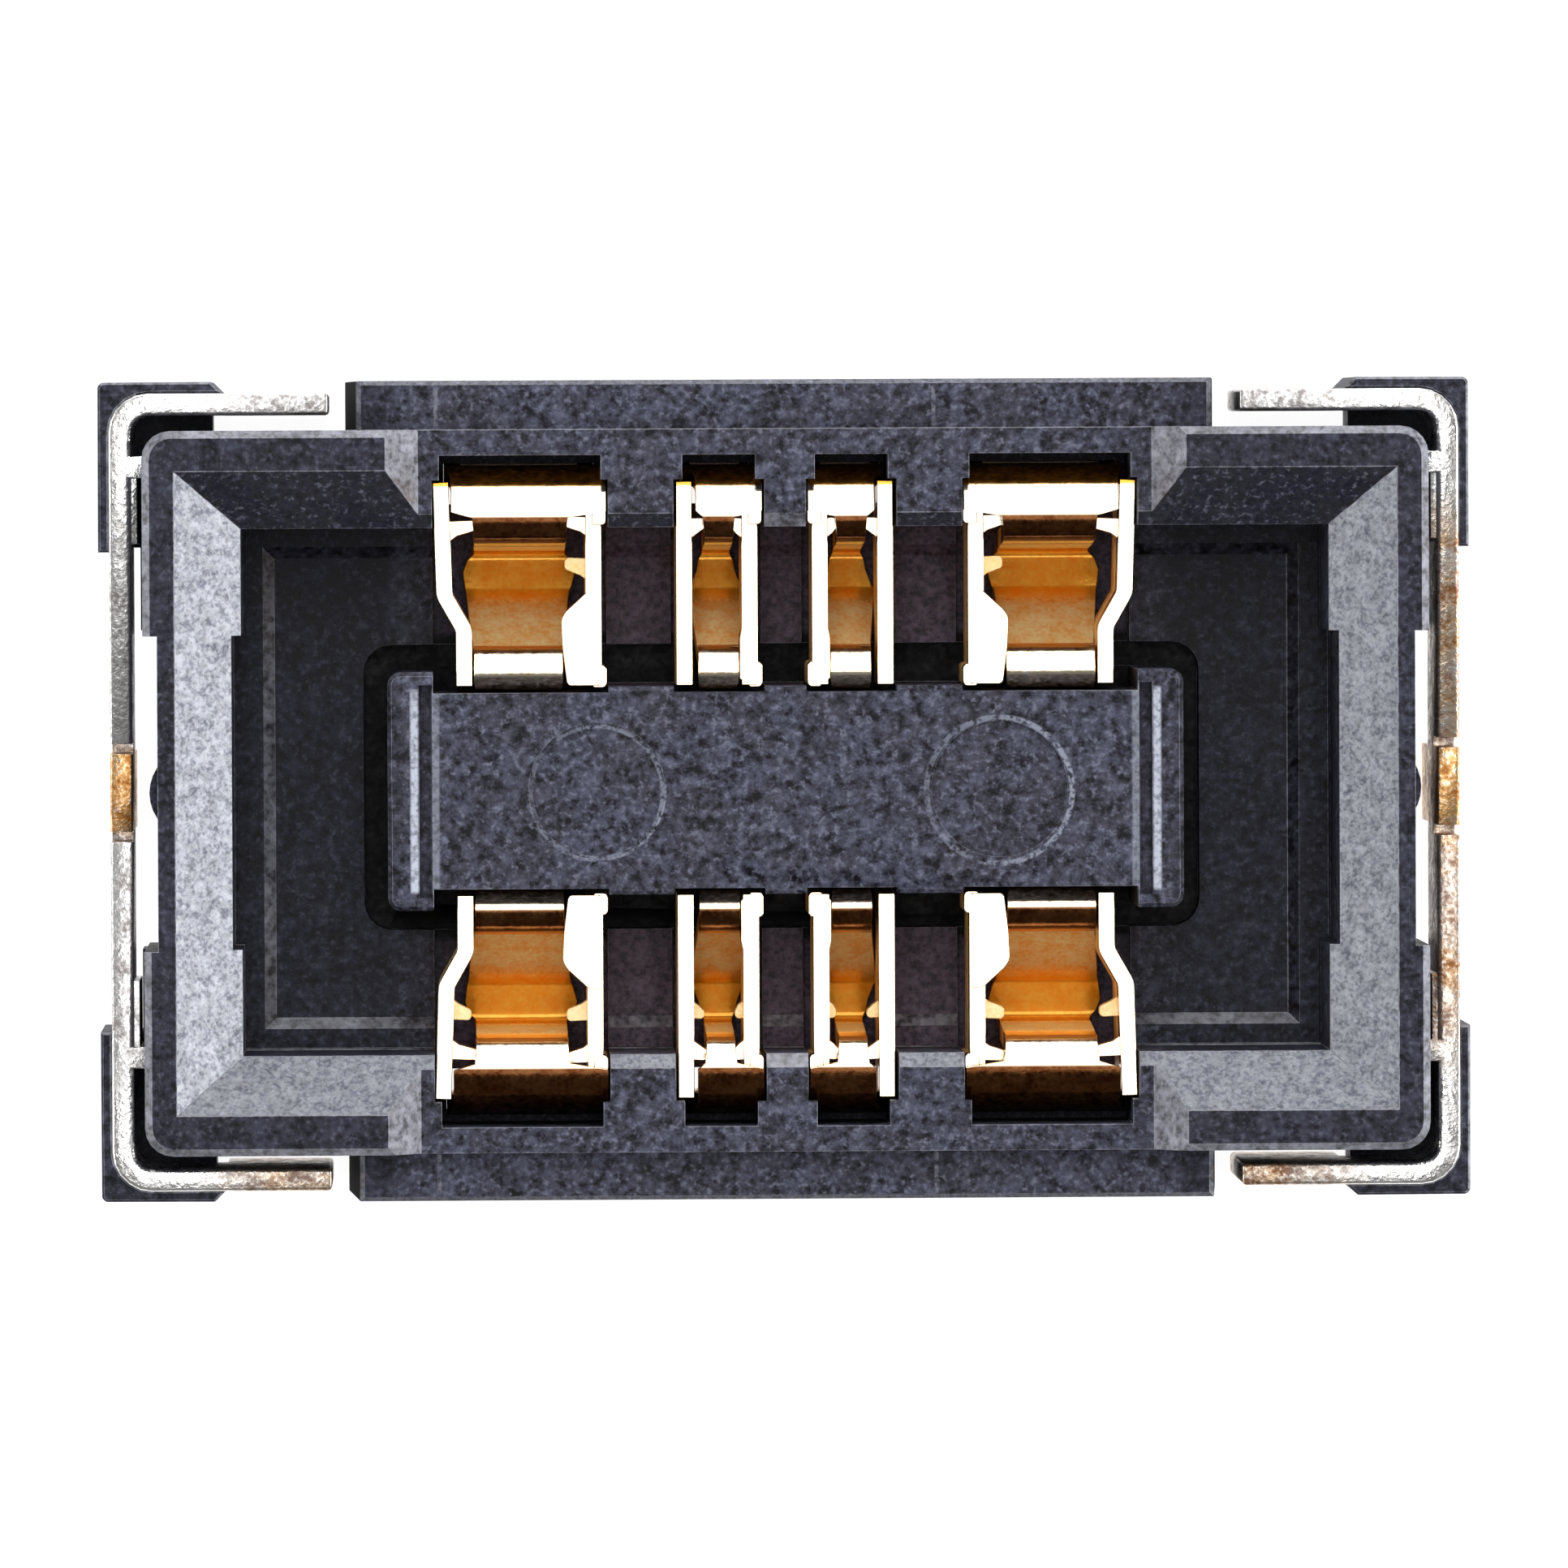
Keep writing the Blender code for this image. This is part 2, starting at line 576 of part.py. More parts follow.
def build_contacts():
    """The eight contacts, and the pockets that they need cut in the housing."""
    power_widths = (
        POWER_TAIL_WIDTH,
        POWER_CREST_WIDTH,
        POWER_LEG_WIDTH,
        POWER_ARM_WIDTH,
        POWER_ARM_SHIFT,
        POWER_FLOOR_BULGE,
    )
    signal_widths = (SIGNAL_TAIL_WIDTH, SIGNAL_CREST_WIDTH, SIGNAL_LEG_WIDTH, SIGNAL_ARM_WIDTH, 0.0, 0.0)
    power = contact_mesh("power_contact", POWER_SPAN, power_widths, POWER_RAIL_JOG, True)
    signal = contact_mesh("signal_contact", SIGNAL_SPAN, signal_widths, 0.0, False)
    kinds = {
        "power": (power, POWER_OFFSET, (POWER_SPAN, POWER_SLOT_WIDTH, POWER_CREST_WIDTH, POWER_TAIL_WIDTH)),
        "signal": (signal, SIGNAL_PITCH / 2,
                   (SIGNAL_SPAN, SIGNAL_SLOT_WIDTH, SIGNAL_CREST_WIDTH, SIGNAL_TAIL_WIDTH)),
    }
    pockets = []
    for kind, (mesh, offset, sizes) in kinds.items():
        handed = {"left": mesh, "right": mirrored(mesh, mesh.name + "_mirrored")}
        well = contact_pocket(kind + "_pocket", *sizes)
        for row, turn in (("rear", 0.0), ("front", math.pi)):
            for side, x in (("left", -offset), ("right", offset)):
                # A front contact is a rear one of the other hand, turned half round.
                hand = side if row == "rear" else {"left": "right", "right": "left"}[side]
                piece_mesh = handed[hand].copy()
                contact = as_piece(f"{kind}_contact_{row}_{side}", piece_mesh, CONTACT_GOLD)
                contact.location = (x, 0, 0)
                contact.rotation_euler = (0, 0, turn)
                for cavity in well:
                    cutter = as_cutter(f"{cavity.name}_{row}_{side}", cavity)
                    cutter.location = (x, 0, 0)
                    cutter.rotation_euler = (0, 0, turn)
                    pockets.append(cutter)
    return pockets


def fitting_path():
    """The right fitting's sheet seen from above: a U round the end of the housing."""
    end_x = HALF_LENGTH - FITTING_INSET - FITTING_SHEET / 2
    side_y = HALF_WIDTH - FITTING_INSET - FITTING_SHEET / 2
    leg_end_x = HALF_LENGTH - FITTING_LEG_SETBACK
    corners = [(leg_end_x, side_y), (end_x, side_y), (end_x, -side_y), (leg_end_x, -side_y)]
    radius = FITTING_CORNER_RADIUS - FITTING_SHEET / 2
    return rounded_path([(x, y, 0) for x, y in corners], [0, radius, radius, 0])


def barb_box(name, barb_y, grow):
    """A fitting's anchor barb, or with grow the pocket that it stands in."""
    outer = HALF_LENGTH - FITTING_INSET - FITTING_SHEET / 2
    inner = GUIDE_X + FITTING_GAP
    low = (inner - grow, barb_y - FITTING_SHEET / 2 - grow, CORNER_BASE_HEIGHT - BARB_DEPTH - grow)
    high_z = HOUSING_HEIGHT + BEYOND if grow else FITTING_TOP
    return box(name, low, (outer + grow, barb_y + FITTING_SHEET / 2 + grow, high_z))


def build_fittings():
    """Both end fittings. The left one is the right one mirrored."""
    band = upright_sheet("fitting_band", fitting_path(), 0, FITTING_TOP, FITTING_SHEET, FITTING_EDGE)
    reach = HALF_LENGTH + BEYOND
    clear_z = CORNER_BASE_HEIGHT + FITTING_GAP
    post_x = HALF_LENGTH - POST_LEG_ALONG_X - FITTING_GAP
    for name, sign in (("rear", 1), ("front", -1)):
        near, far = sign * FITTING_TAB_HALF_WIDTH, sign * (HALF_WIDTH + BEYOND)
        cut(band, box(f"fitting_{name}_undercut", (post_x, min(near, far), -BEYOND),
                      (reach, max(near, far), clear_z)))
        notch_low, notch_high = sorted((near, near + sign * FITTING_NOTCH_WIDTH))
        cut(band, box(f"fitting_{name}_notch", (GUIDE_X, notch_low, FITTING_TOP - FITTING_NOTCH_DEPTH),
                      (reach, notch_high, FITTING_TOP + BEYOND)))
    for name, barb_y in (("rear", REAR_BARB_Y), ("front", FRONT_BARB_Y)):
        join(band, barb_box(f"fitting_{name}_barb", barb_y, 0.0))
        pad_end = barb_y - math.copysign(FITTING_PAD_LENGTH + FITTING_SHEET, barb_y)
        pad_low, pad_high = sorted((barb_y, pad_end))
        pad_x = HALF_LENGTH - FITTING_INSET - FITTING_SHEET
        join(band, box(f"fitting_{name}_pad", (pad_x - FITTING_PAD_THICKNESS, pad_low, clear_z),
                       (pad_x + FITTING_SHEET / 2, pad_high, FITTING_TOP - OVERLAP)))
    mesh = evaluated_mesh(band, "end_fitting")
    bpy.data.objects.remove(band, do_unlink=True)
    as_piece("end_fitting_right", mesh, FITTING_METAL)
    as_piece("end_fitting_left", mirrored(mesh, "end_fitting_mirrored"), FITTING_METAL)


def corner_post_mesh():
    """The rear right corner: an L-shaped post outside the fitting, on a low base inside it."""
    leg_x = HALF_LENGTH - POST_LEG_ALONG_X
    leg_y = HALF_WIDTH - POST_LEG_ALONG_Y
    inner_x = HALF_LENGTH - POST_WALL
    inner_y = HALF_WIDTH - POST_WALL
    corners = [
        (HALF_LENGTH, leg_y),
        (HALF_LENGTH, HALF_WIDTH),
        (leg_x + POST_WALL, HALF_WIDTH),
        (leg_x, inner_y),
        (inner_x, inner_y),
        (inner_x, leg_y),
    ]
    radii = [0, POST_CORNER_RADIUS, 0, 0, FITTING_CORNER_RADIUS + FITTING_GAP, 0]
    return prism_mesh("corner_post", rounded_path([(x, y, 0) for x, y in corners], radii, closed=True),
                      -BEYOND, POST_HEIGHT, POST_EDGE)


def corner_base_mesh():
    leg_x = HALF_LENGTH - POST_LEG_ALONG_X
    leg_y = HALF_WIDTH - POST_LEG_ALONG_Y
    edge = POST_WALL / 2
    low = (leg_x + POST_WALL, leg_y + OVERLAP, -BEYOND - OVERLAP)
    return box_mesh("corner_base", low, (HALF_LENGTH - edge, HALF_WIDTH - edge, CORNER_BASE_HEIGHT))


def corner_web_mesh():
    """The low web between guide and fitting, next to the corner base."""
    outer = HALF_LENGTH - FITTING_INSET - FITTING_SHEET - FITTING_PAD_THICKNESS - FITTING_GAP
    leg_y = HALF_WIDTH - POST_LEG_ALONG_Y
    return box_mesh("corner_web", (GUIDE_X - OVERLAP, WEB_END_Y + OVERLAP, -BEYOND + OVERLAP),
                    (outer, leg_y + 3 * OVERLAP, CORNER_BASE_HEIGHT + OVERLAP))


def at_four_corners(mesh):
    """Helper objects of a rear right mesh, repeated at each corner of the housing."""
    handed = mirrored(mesh, mesh.name + "_mirrored")
    places = {"rear_right": (mesh, 0.0), "rear_left": (handed, 0.0),
              "front_left": (mesh, math.pi), "front_right": (handed, math.pi)}
    corners = []
    for label, (corner_mesh, turn) in places.items():
        corner = as_cutter(f"{mesh.name}_{label}", corner_mesh)
        corner.rotation_euler = (0, 0, turn)
        corners.append(corner)
    return corners


def add_outside(housing):
    """The ledges of the long sides, the corner posts and their bases, and the bumps at the ends."""
    ledge_end = HALF_LENGTH - LEDGE_SETBACK
    low, high = (-ledge_end, -HALF_WIDTH, OVERLAP - BEYOND), (ledge_end, HALF_WIDTH, LEDGE_HEIGHT)
    join(housing, as_cutter("ledge", tapered_box_mesh("ledge", low, high, -LEDGE_END_RUN, 0.0, LEDGE_EDGE)))
    for mesh in (corner_base_mesh(), corner_web_mesh(), corner_post_mesh()):
        for corner in at_four_corners(mesh):
            join(housing, corner)
    relief_x = GUIDE_X - OUTER_RELIEF_DEPTH
    reach = HALF_LENGTH + BEYOND
    for name, low_x, high_x in (("left", -reach, -relief_x), ("right", relief_x, reach)):
        low = (low_x, -WEB_END_Y, -BEYOND)
        cut(housing, box(f"{name}_outer_relief", low, (high_x, WEB_END_Y, HOUSING_HEIGHT + BEYOND)))
    bump_x = GUIDE_X - OUTER_RELIEF_DEPTH + BUMP_REACH - BUMP_RADIUS
    for name, x in (("left", -bump_x), ("right", bump_x)):
        bm = bmesh.new()
        depth = LEAD_IN_BOTTOM + BEYOND / 2
        bmesh.ops.create_cone(bm, cap_ends=True, segments=32, radius1=BUMP_RADIUS, radius2=BUMP_RADIUS,
                              depth=depth, matrix=Matrix.Translation((x, 0, LEAD_IN_BOTTOM - depth / 2)))
        join(housing, as_cutter(f"{name}_bump", mesh_from(bm, f"{name}_bump")))
    low = (-reach, -HALF_WIDTH - BEYOND, -3 * BEYOND)
    cut(housing, box("underside", low, (reach, HALF_WIDTH + BEYOND, STANDOFF)))


def cut_mouth(housing):
    """The lowered side walls, the sloped lead-ins, the cavity and the reliefs in the end walls."""
    top = HOUSING_HEIGHT + BEYOND
    arm_x = GUIDE_X - GUIDE_ARM_LENGTH
    run_per_height = ARM_END_RUN / (HOUSING_HEIGHT - WALL_HEIGHT)
    foot_x = arm_x - ARM_END_RUN
    top_x = arm_x + BEYOND * run_per_height
    gap = [(-foot_x, WALL_HEIGHT), (foot_x, WALL_HEIGHT), (top_x, top), (-top_x, top)]
    cut(housing, side_prism("arm_gap", gap, -HALF_WIDTH - BEYOND, HALF_WIDTH + BEYOND))

    grow = (LEAD_IN_DEPTH + BEYOND) / LEAD_IN_DEPTH
    lead_in = tapered_box_mesh(
        "lead_in",
        (-CAVITY_X, -CAVITY_Y, LEAD_IN_BOTTOM),
        (CAVITY_X, CAVITY_Y, top),
        LEAD_IN_RUN_AT_END * grow,
        LEAD_IN_RUN_AT_SIDE * grow,
    )
    cut(housing, as_cutter("lead_in", lead_in))
    cavity_top = LEAD_IN_BOTTOM + OVERLAP
    cut(housing, box("cavity", (-CAVITY_X, -CAVITY_Y, FLOOR_HEIGHT), (CAVITY_X, CAVITY_Y, cavity_top)))
    relief_x = CAVITY_X + END_RELIEF_DEPTH
    cut(housing, box("end_relief", (-relief_x, -WEB_END_Y, FLOOR_HEIGHT), (relief_x, WEB_END_Y, top)))


def island_outline():
    half = ISLAND_LENGTH / 2
    head = half - ISLAND_HEAD_LENGTH
    wide = ISLAND_HEAD_Y
    step = ISLAND_HEAD_STEP
    corners = [(half, -wide), (half, wide), (head, wide), (head - step, ISLAND_Y), (-head + step, ISLAND_Y),
               (-head, wide), (-half, wide), (-half, -wide), (-head, -wide), (-head + step, -ISLAND_Y),
               (head - step, -ISLAND_Y), (head, -wide)]
    round_end = ISLAND_CORNER_RADIUS
    radii = [round_end, round_end, 0, 0, 0, 0, round_end, round_end, 0, 0, 0, 0]
    return rounded_path([(x, y, 0) for x, y in corners], radii, closed=True)


def add_floor_and_island(housing):
    """The recessed floor, the groove round the ends of the island, and the island with its marks."""
    recess_x = CAVITY_X - RECESS_MARGIN - RECESS_SLOPE_RUN
    recess_y = CAVITY_Y - RECESS_MARGIN - RECESS_SLOPE_RUN
    grow = (RECESS_DEPTH + BEYOND) / RECESS_DEPTH * RECESS_SLOPE_RUN
    recess = tapered_box_mesh(
        "floor_recess",
        (-recess_x, -recess_y, FLOOR_HEIGHT - RECESS_DEPTH),
        (recess_x, recess_y, FLOOR_HEIGHT + BEYOND),
        grow,
        grow,
    )
    cut(housing, as_cutter("floor_recess", recess))
    groove = rounded_rectangle(ISLAND_LENGTH / 2 + GROOVE_WIDTH, ISLAND_HEAD_Y + GROOVE_WIDTH,
                               GROOVE_CORNER_RADIUS)
    cut(housing, prism("island_groove", groove, FLOOR_HEIGHT - GROOVE_DEPTH, FLOOR_HEIGHT + BEYOND))
    base = FLOOR_HEIGHT - GROOVE_DEPTH - OVERLAP
    join(housing, prism("island", island_outline(), base, ISLAND_HEIGHT, ISLAND_EDGE))
    slot_x = ISLAND_LENGTH / 2 - HEAD_SLOT_SETBACK
    slot_y = ISLAND_HEAD_Y - HEAD_SLOT_END_WALL
    for name, x in (("left", -slot_x), ("right", slot_x)):
        low = (x - HEAD_SLOT_WIDTH / 2, -slot_y, ISLAND_HEIGHT - HEAD_SLOT_DEPTH)
        high = (x + HEAD_SLOT_WIDTH / 2, slot_y, ISLAND_HEIGHT + BEYOND)
        cut(housing, box(f"{name}_head_slot", low, high))
    for name, x in (("left", LEFT_MARK_X), ("right", RIGHT_MARK_X)):
        bm = bmesh.new()
        place = Matrix.Translation((x, 0, ISLAND_HEIGHT - MARK_DEPTH + BEYOND / 2))
        bmesh.ops.create_cone(bm, cap_ends=True, segments=48, radius1=MARK_RADIUS, radius2=MARK_RADIUS,
                              depth=BEYOND, matrix=place)
        cut(housing, as_cutter(f"{name}_mark", mesh_from(bm, f"{name}_mark")))


def build_housing(pockets):
    outline = rounded_rectangle(GUIDE_X, GUIDE_Y, GUIDE_CORNER_RADIUS)
    block = prism_mesh("housing", outline, -2 * BEYOND, HOUSING_HEIGHT, GUIDE_EDGE)
    housing = as_piece("housing", block, HOUSING_PLASTIC)
    add_outside(housing)
    cut_mouth(housing)
    add_floor_and_island(housing)
    for side, turn in (("right", 0.0), ("left", math.pi)):
        for name, barb_y in (("rear", REAR_BARB_Y), ("front", FRONT_BARB_Y)):
            place_y = barb_y if side == "right" else -barb_y
            pocket = barb_box(f"{side}_{name}_barb_pocket", place_y, FITTING_GAP)
            pocket.rotation_euler = (0, 0, turn)
            cut(housing, pocket)
    for pocket in pockets:
        cut(housing, pocket)


clear_scene()
CONNECTOR = new_collection("board_to_board_connector")
CUTTERS = new_collection("cutters", hidden=True)
HOUSING_PLASTIC = new_material("housing_plastic", (0.03, 0.03, 0.038), 0.45, 0.0)
CONTACT_GOLD = new_material("contact_gold", (0.95, 0.62, 0.24), 0.25, 1.0)
FITTING_METAL = new_material("fitting_metal", (0.66, 0.62, 0.56), 0.35, 1.0)

contact_pockets = build_contacts()
build_fittings()
build_housing(contact_pockets)
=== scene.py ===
import json
import math

import bmesh
import bpy
from mathutils import Matrix, Vector


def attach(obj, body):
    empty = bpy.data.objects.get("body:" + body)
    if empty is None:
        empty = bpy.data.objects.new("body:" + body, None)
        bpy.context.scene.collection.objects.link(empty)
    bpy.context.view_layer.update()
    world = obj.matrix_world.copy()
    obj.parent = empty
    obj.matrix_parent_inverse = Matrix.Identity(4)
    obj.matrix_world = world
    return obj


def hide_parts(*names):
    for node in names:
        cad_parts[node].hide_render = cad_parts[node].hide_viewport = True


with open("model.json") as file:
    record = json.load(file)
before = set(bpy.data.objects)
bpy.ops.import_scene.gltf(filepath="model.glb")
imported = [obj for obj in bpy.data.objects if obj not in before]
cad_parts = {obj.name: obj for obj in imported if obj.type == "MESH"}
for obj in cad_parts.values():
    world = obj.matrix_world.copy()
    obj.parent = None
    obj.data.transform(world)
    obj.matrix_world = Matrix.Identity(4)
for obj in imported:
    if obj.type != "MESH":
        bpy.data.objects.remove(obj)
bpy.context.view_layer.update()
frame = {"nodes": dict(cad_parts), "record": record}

MM = 0.001
MERGE = 0.00005 * MM

# Faces of the housing: how far slopes and facets tilt (their normal's z), and where they lie in millimetres
FACET_LOWEST = 0.45
SLOPE_LOWEST = 0.70
SLOPE_HIGHEST = 0.90
SLOPES_FROM_Z = 0.5
LEDGES_FROM_Y = 0.96
ISLAND_END_X = 1.1
ISLAND_SIDE_Y = 0.35
# Slopes of the recess facing +x or +y, where their normal's x or y is above this, are painted pale as
# highlights
LIT_SIDE = 0.3
# Breadths of faces, in millimetres: a slope below NARROW is a facet, and its edges stay sharp, but the outer
# edges of the shallowest steps are rounded a little
NARROW = 0.034
SHALLOW = 0.012
SHALLOW_WEIGHT = 0.4
LEAST_BEND = math.radians(25)
# The housing's finishes beside its first; the pale one paints highlights on edges, small facets and recess
# slopes
LEAD_IN_SLOT = 1
HIGHLIGHT_SLOT = 2

# Shades of the plastic, dark and pale
SKIN_SHADES = ((0.004, 0.004, 0.007), (0.110, 0.116, 0.172))
BROWN_SHADES = ((0.010, 0.007, 0.008), (0.060, 0.050, 0.058))
# Pale shades painted on the housing's edges and facets as highlights
HIGHLIGHT_SHADES = ((0.060, 0.060, 0.075), (0.40, 0.41, 0.48))
POLISHED_SHADES = ((0.002, 0.002, 0.006), (0.008, 0.008, 0.028))
# Paler, warmer shades painted on the moat floors as light bounced from the gold contacts
MOAT_GLOW_SHADES = ((0.05, 0.035, 0.05), (0.20, 0.15, 0.22))
SPECK_COLOUR = (0.20, 0.21, 0.28)

# Zones of marks, painted shade and painted highlights on the plastic, from one place to the other in
# millimetres; -1 and 9 leave a side open
ENDS_ACROSS = (1.06, 9.0)
MOATS_ACROSS = (-1.0, 0.90)
MOATS_HEIGHT = (-1.0, 0.17)
LEDGE_END_SHADOW_ACROSS = (1.132, 1.30)
LEDGE_END_SHADOW_ALONG = (0.95, 1.20)
LEDGES_ALONG = (0.965, 1.06)
ISLAND_HEIGHT = (0.50, 0.64)
HEAD_SLOTS_ALONG = (-1.0, 0.262)
# Where the groove round the island is painted black as shadow
GROOVE_SHADOW_ACROSS = (-1.0, 1.25)
GROOVE_SHADOW_ALONG = (-1.0, 0.40)
GROOVE_SHADOW_HEIGHT = (-1.0, 0.08)

# Seam lines on the ledges (x), pale lines painted as highlights beside the slots of the island's heads (from,
# to, strength), and the island's round marks (x, y, radius), in millimetres
SEAM_LINES = (-0.925, 0.391)
SEAM_WIDTH = 0.008
SLOT_HIGHLIGHTS = ((0.919, 0.935, 0.35), (0.975, 0.989, 1.0))
ROUND_MARKS = ((-0.500, -0.004, 0.176), (0.564, -0.004, 0.193))
RING_HALF_WIDTH = 0.005

# Contacts, in millimetres; Y is counted from the part's middle towards the outside
SIGNAL_PITCH = 0.35
POWER_OFFSET = 0.70
SHEET = 0.048
TAIL_END_Y = 1.063
POST_Y = 0.836
CREST_Z = 0.561
RAIL_SHEET = 0.042
RAIL_LOW = 0.20
RAIL_HIGH = 0.52
RAIL_FROM_Y = 0.277
RAIL_TO_Y = 0.816
INNER_FOOT_FROM_Y = 0.272
OUTER_FOOT_Y = (0.702, 0.818)
UPPER_DROP = 0.050
LOWER_DROP = 0.100
BEND_STEPS = 9

# How much the plating adds to each side of the end fittings, in millimetres
PLATING = 0.005

# Widths of the rounded edges, in millimetres, and the angle above which the metal's edges are rounded
HOUSING_EDGE = 0.012
CONTACT_EDGE = 0.008
FITTING_EDGE = 0.006
METAL_BEND = 40

# Bands of the contacts' bent strips painted dark as shade, and the orange edge of the rear crests painted as
# a highlight's fringe, from one y to the other
SHADE_BANDS = ((0.645, 0.722), (-0.372, -0.318), (-0.870, -0.735))
CREST_FRINGE = (0.808, 0.90)

# Camera: straight above, leaning a little to the rear left
VIEW_WIDTH = 4.146 * MM
AIM = Vector((-0.005 * MM, 0.015 * MM, 0.55 * MM))
LEAN_LEFT = math.radians(1.5)
LEAN_REAR = math.radians(1.5)
ROLL = math.radians(0.3)
LENS = 300.0
SENSOR = 36.0

# Lamps: panels on a sphere round the object
LAMP_DISTANCE = 40 * MM


# Shader nodes

def new_material(name):
    material = bpy.data.materials.new(name)
    material.use_nodes = True
    return material


def feed(tree, value, socket):
    """Links a socket, or sets a number or colour."""
    if isinstance(value, bpy.types.NodeSocket):
        tree.links.new(value, socket)
    elif isinstance(value, tuple) and len(value) == 3 and socket.type == "RGBA":
        socket.default_value = (*value, 1.0)
    else:
        socket.default_value = value


def rescale(tree, value, low, high, low_out=0.0, high_out=1.0):
    """A value moved from one range to another, and kept inside it."""
    node = tree.nodes.new("ShaderNodeMapRange")
    feed(tree, value, node.inputs["Value"])
    node.inputs["From Min"].default_value = low
    node.inputs["From Max"].default_value = high
    node.inputs["To Min"].default_value = low_out
    node.inputs["To Max"].default_value = high_out
    return node.outputs["Result"]


def combine(tree, operation, first, second=0.0):
    node = tree.nodes.new("ShaderNodeMath")
    node.operation = operation
    feed(tree, first, node.inputs[0])
    feed(tree, second, node.inputs[1])
    return node.outputs[0]


def product(tree, value, *others):
    for other in others:
        value = combine(tree, "MULTIPLY", value, other)
    return value


def greatest(tree, value, *others):
    for other in others:
        value = combine(tree, "MAXIMUM", value, other)
    return value


def blend_colours(tree, factor, first, second):
    node = tree.nodes.new("ShaderNodeMix")
    node.data_type = "RGBA"
    colours = [socket for socket in node.inputs if socket.type == "RGBA"]
    feed(tree, factor, node.inputs["Factor"])
    feed(tree, first, colours[0])
    feed(tree, second, colours[1])
    return [socket for socket in node.outputs if socket.type == "RGBA"][0]


def bumped(tree, height, distance):
    node = tree.nodes.new("ShaderNodeBump")
    feed(tree, height, node.inputs["Height"])
    node.inputs["Distance"].default_value = distance
    return node.outputs["Normal"]


def new_group(name, inputs, outputs):
    """A node group. Inputs are names with defaults, numbers or colours; an output named Color is a colour."""
    tree = bpy.data.node_groups.new(name, "ShaderNodeTree")
    for socket_name, default in inputs.items():
        kind = "NodeSocketColor" if isinstance(default, tuple) else "NodeSocketFloat"
        socket = tree.interface.new_socket(socket_name, in_out="INPUT", socket_type=kind)
        socket.default_value = (*default, 1.0) if isinstance(default, tuple) else default
    for socket_name in outputs:
        kind = "NodeSocketColor" if socket_name == "Color" else "NodeSocketFloat"
        tree.interface.new_socket(socket_name, in_out="OUTPUT", socket_type=kind)
    return tree, tree.nodes.new("NodeGroupInput"), tree.nodes.new("NodeGroupOutput")


def grain_group():
    """Mottling in two sizes, wide patches, fine specks, and the height that goes with them."""
    tree, inputs, outputs = new_group("surface_grain",
                                      {"Patch Scale": 7000.0, "Coarse Scale": 30000.0, "Fine Scale": 90000.0,
                                       "Speck Level": 0.62},
                                      ("Patches", "Mottle", "Specks", "Height"))
    position = tree.nodes.new("ShaderNodeTexCoord").outputs["Object"]
    layers = []
    for scale, detail in (("Patch Scale", 3.0), ("Coarse Scale", 3.0), ("Fine Scale", 2.0)):
        layer = tree.nodes.new("ShaderNodeTexNoise")
        layer.inputs["Detail"].default_value = detail
        layer.inputs["Roughness"].default_value = 0.6
        tree.links.new(position, layer.inputs["Vector"])
        tree.links.new(inputs.outputs[scale], layer.inputs["Scale"])
        layers.append(layer.outputs["Fac"])
    patches, coarse, fine = layers
    both = combine(tree, "ADD", product(tree, coarse, 0.55), product(tree, fine, 0.45))
    specks = tree.nodes.new("ShaderNodeMapRange")
    tree.links.new(fine, specks.inputs["Value"])
    tree.links.new(inputs.outputs["Speck Level"], specks.inputs["From Min"])
    specks.inputs["From Max"].default_value = 0.82
    tree.links.new(rescale(tree, patches, 0.42, 0.60), outputs.inputs["Patches"])
    tree.links.new(rescale(tree, both, 0.38, 0.62), outputs.inputs["Mottle"])
    tree.links.new(specks.outputs["Result"], outputs.inputs["Specks"])
    tree.links.new(both, outputs.inputs["Height"])
    return tree


def skin_group():
    """The plastic's colour: mottled from Dark to Pale, with brownish patches and fine pale specks."""
    tree, inputs, outputs = new_group("plastic_skin",
                                      {"Mottle": 0.5, "Patches": 0.0, "Specks": 0.0,
                                       "Dark": SKIN_SHADES[0], "Pale": SKIN_SHADES[1]}, ("Color",))
    mottle = inputs.outputs["Mottle"]
    body = blend_colours(tree, mottle, inputs.outputs["Dark"], inputs.outputs["Pale"])
    brown = blend_colours(tree, mottle, *BROWN_SHADES)
    body = blend_colours(tree, product(tree, inputs.outputs["Patches"], 0.35), body, brown)
    colour = blend_colours(tree, inputs.outputs["Specks"], body, SPECK_COLOUR)
    tree.links.new(colour, outputs.inputs["Color"])
    return tree


def places_group():
    """Where a point lies in the part's frame, in millimetres. Across and Along are X and Y without the
    sign."""
    tree, _, outputs = new_group("places", {}, ("X", "Y", "Z", "Across", "Along"))
    position = tree.nodes.new("ShaderNodeSeparateXYZ")
    tree.links.new(tree.nodes.new("ShaderNodeTexCoord").outputs["Object"], position.inputs[0])
    sizes = {axis: combine(tree, "DIVIDE", position.outputs[axis], MM) for axis in "XYZ"}
    for axis, size in sizes.items():
        tree.links.new(size, outputs.inputs[axis])
    tree.links.new(combine(tree, "ABSOLUTE", sizes["X"]), outputs.inputs["Across"])
    tree.links.new(combine(tree, "ABSOLUTE", sizes["Y"]), outputs.inputs["Along"])
    return tree


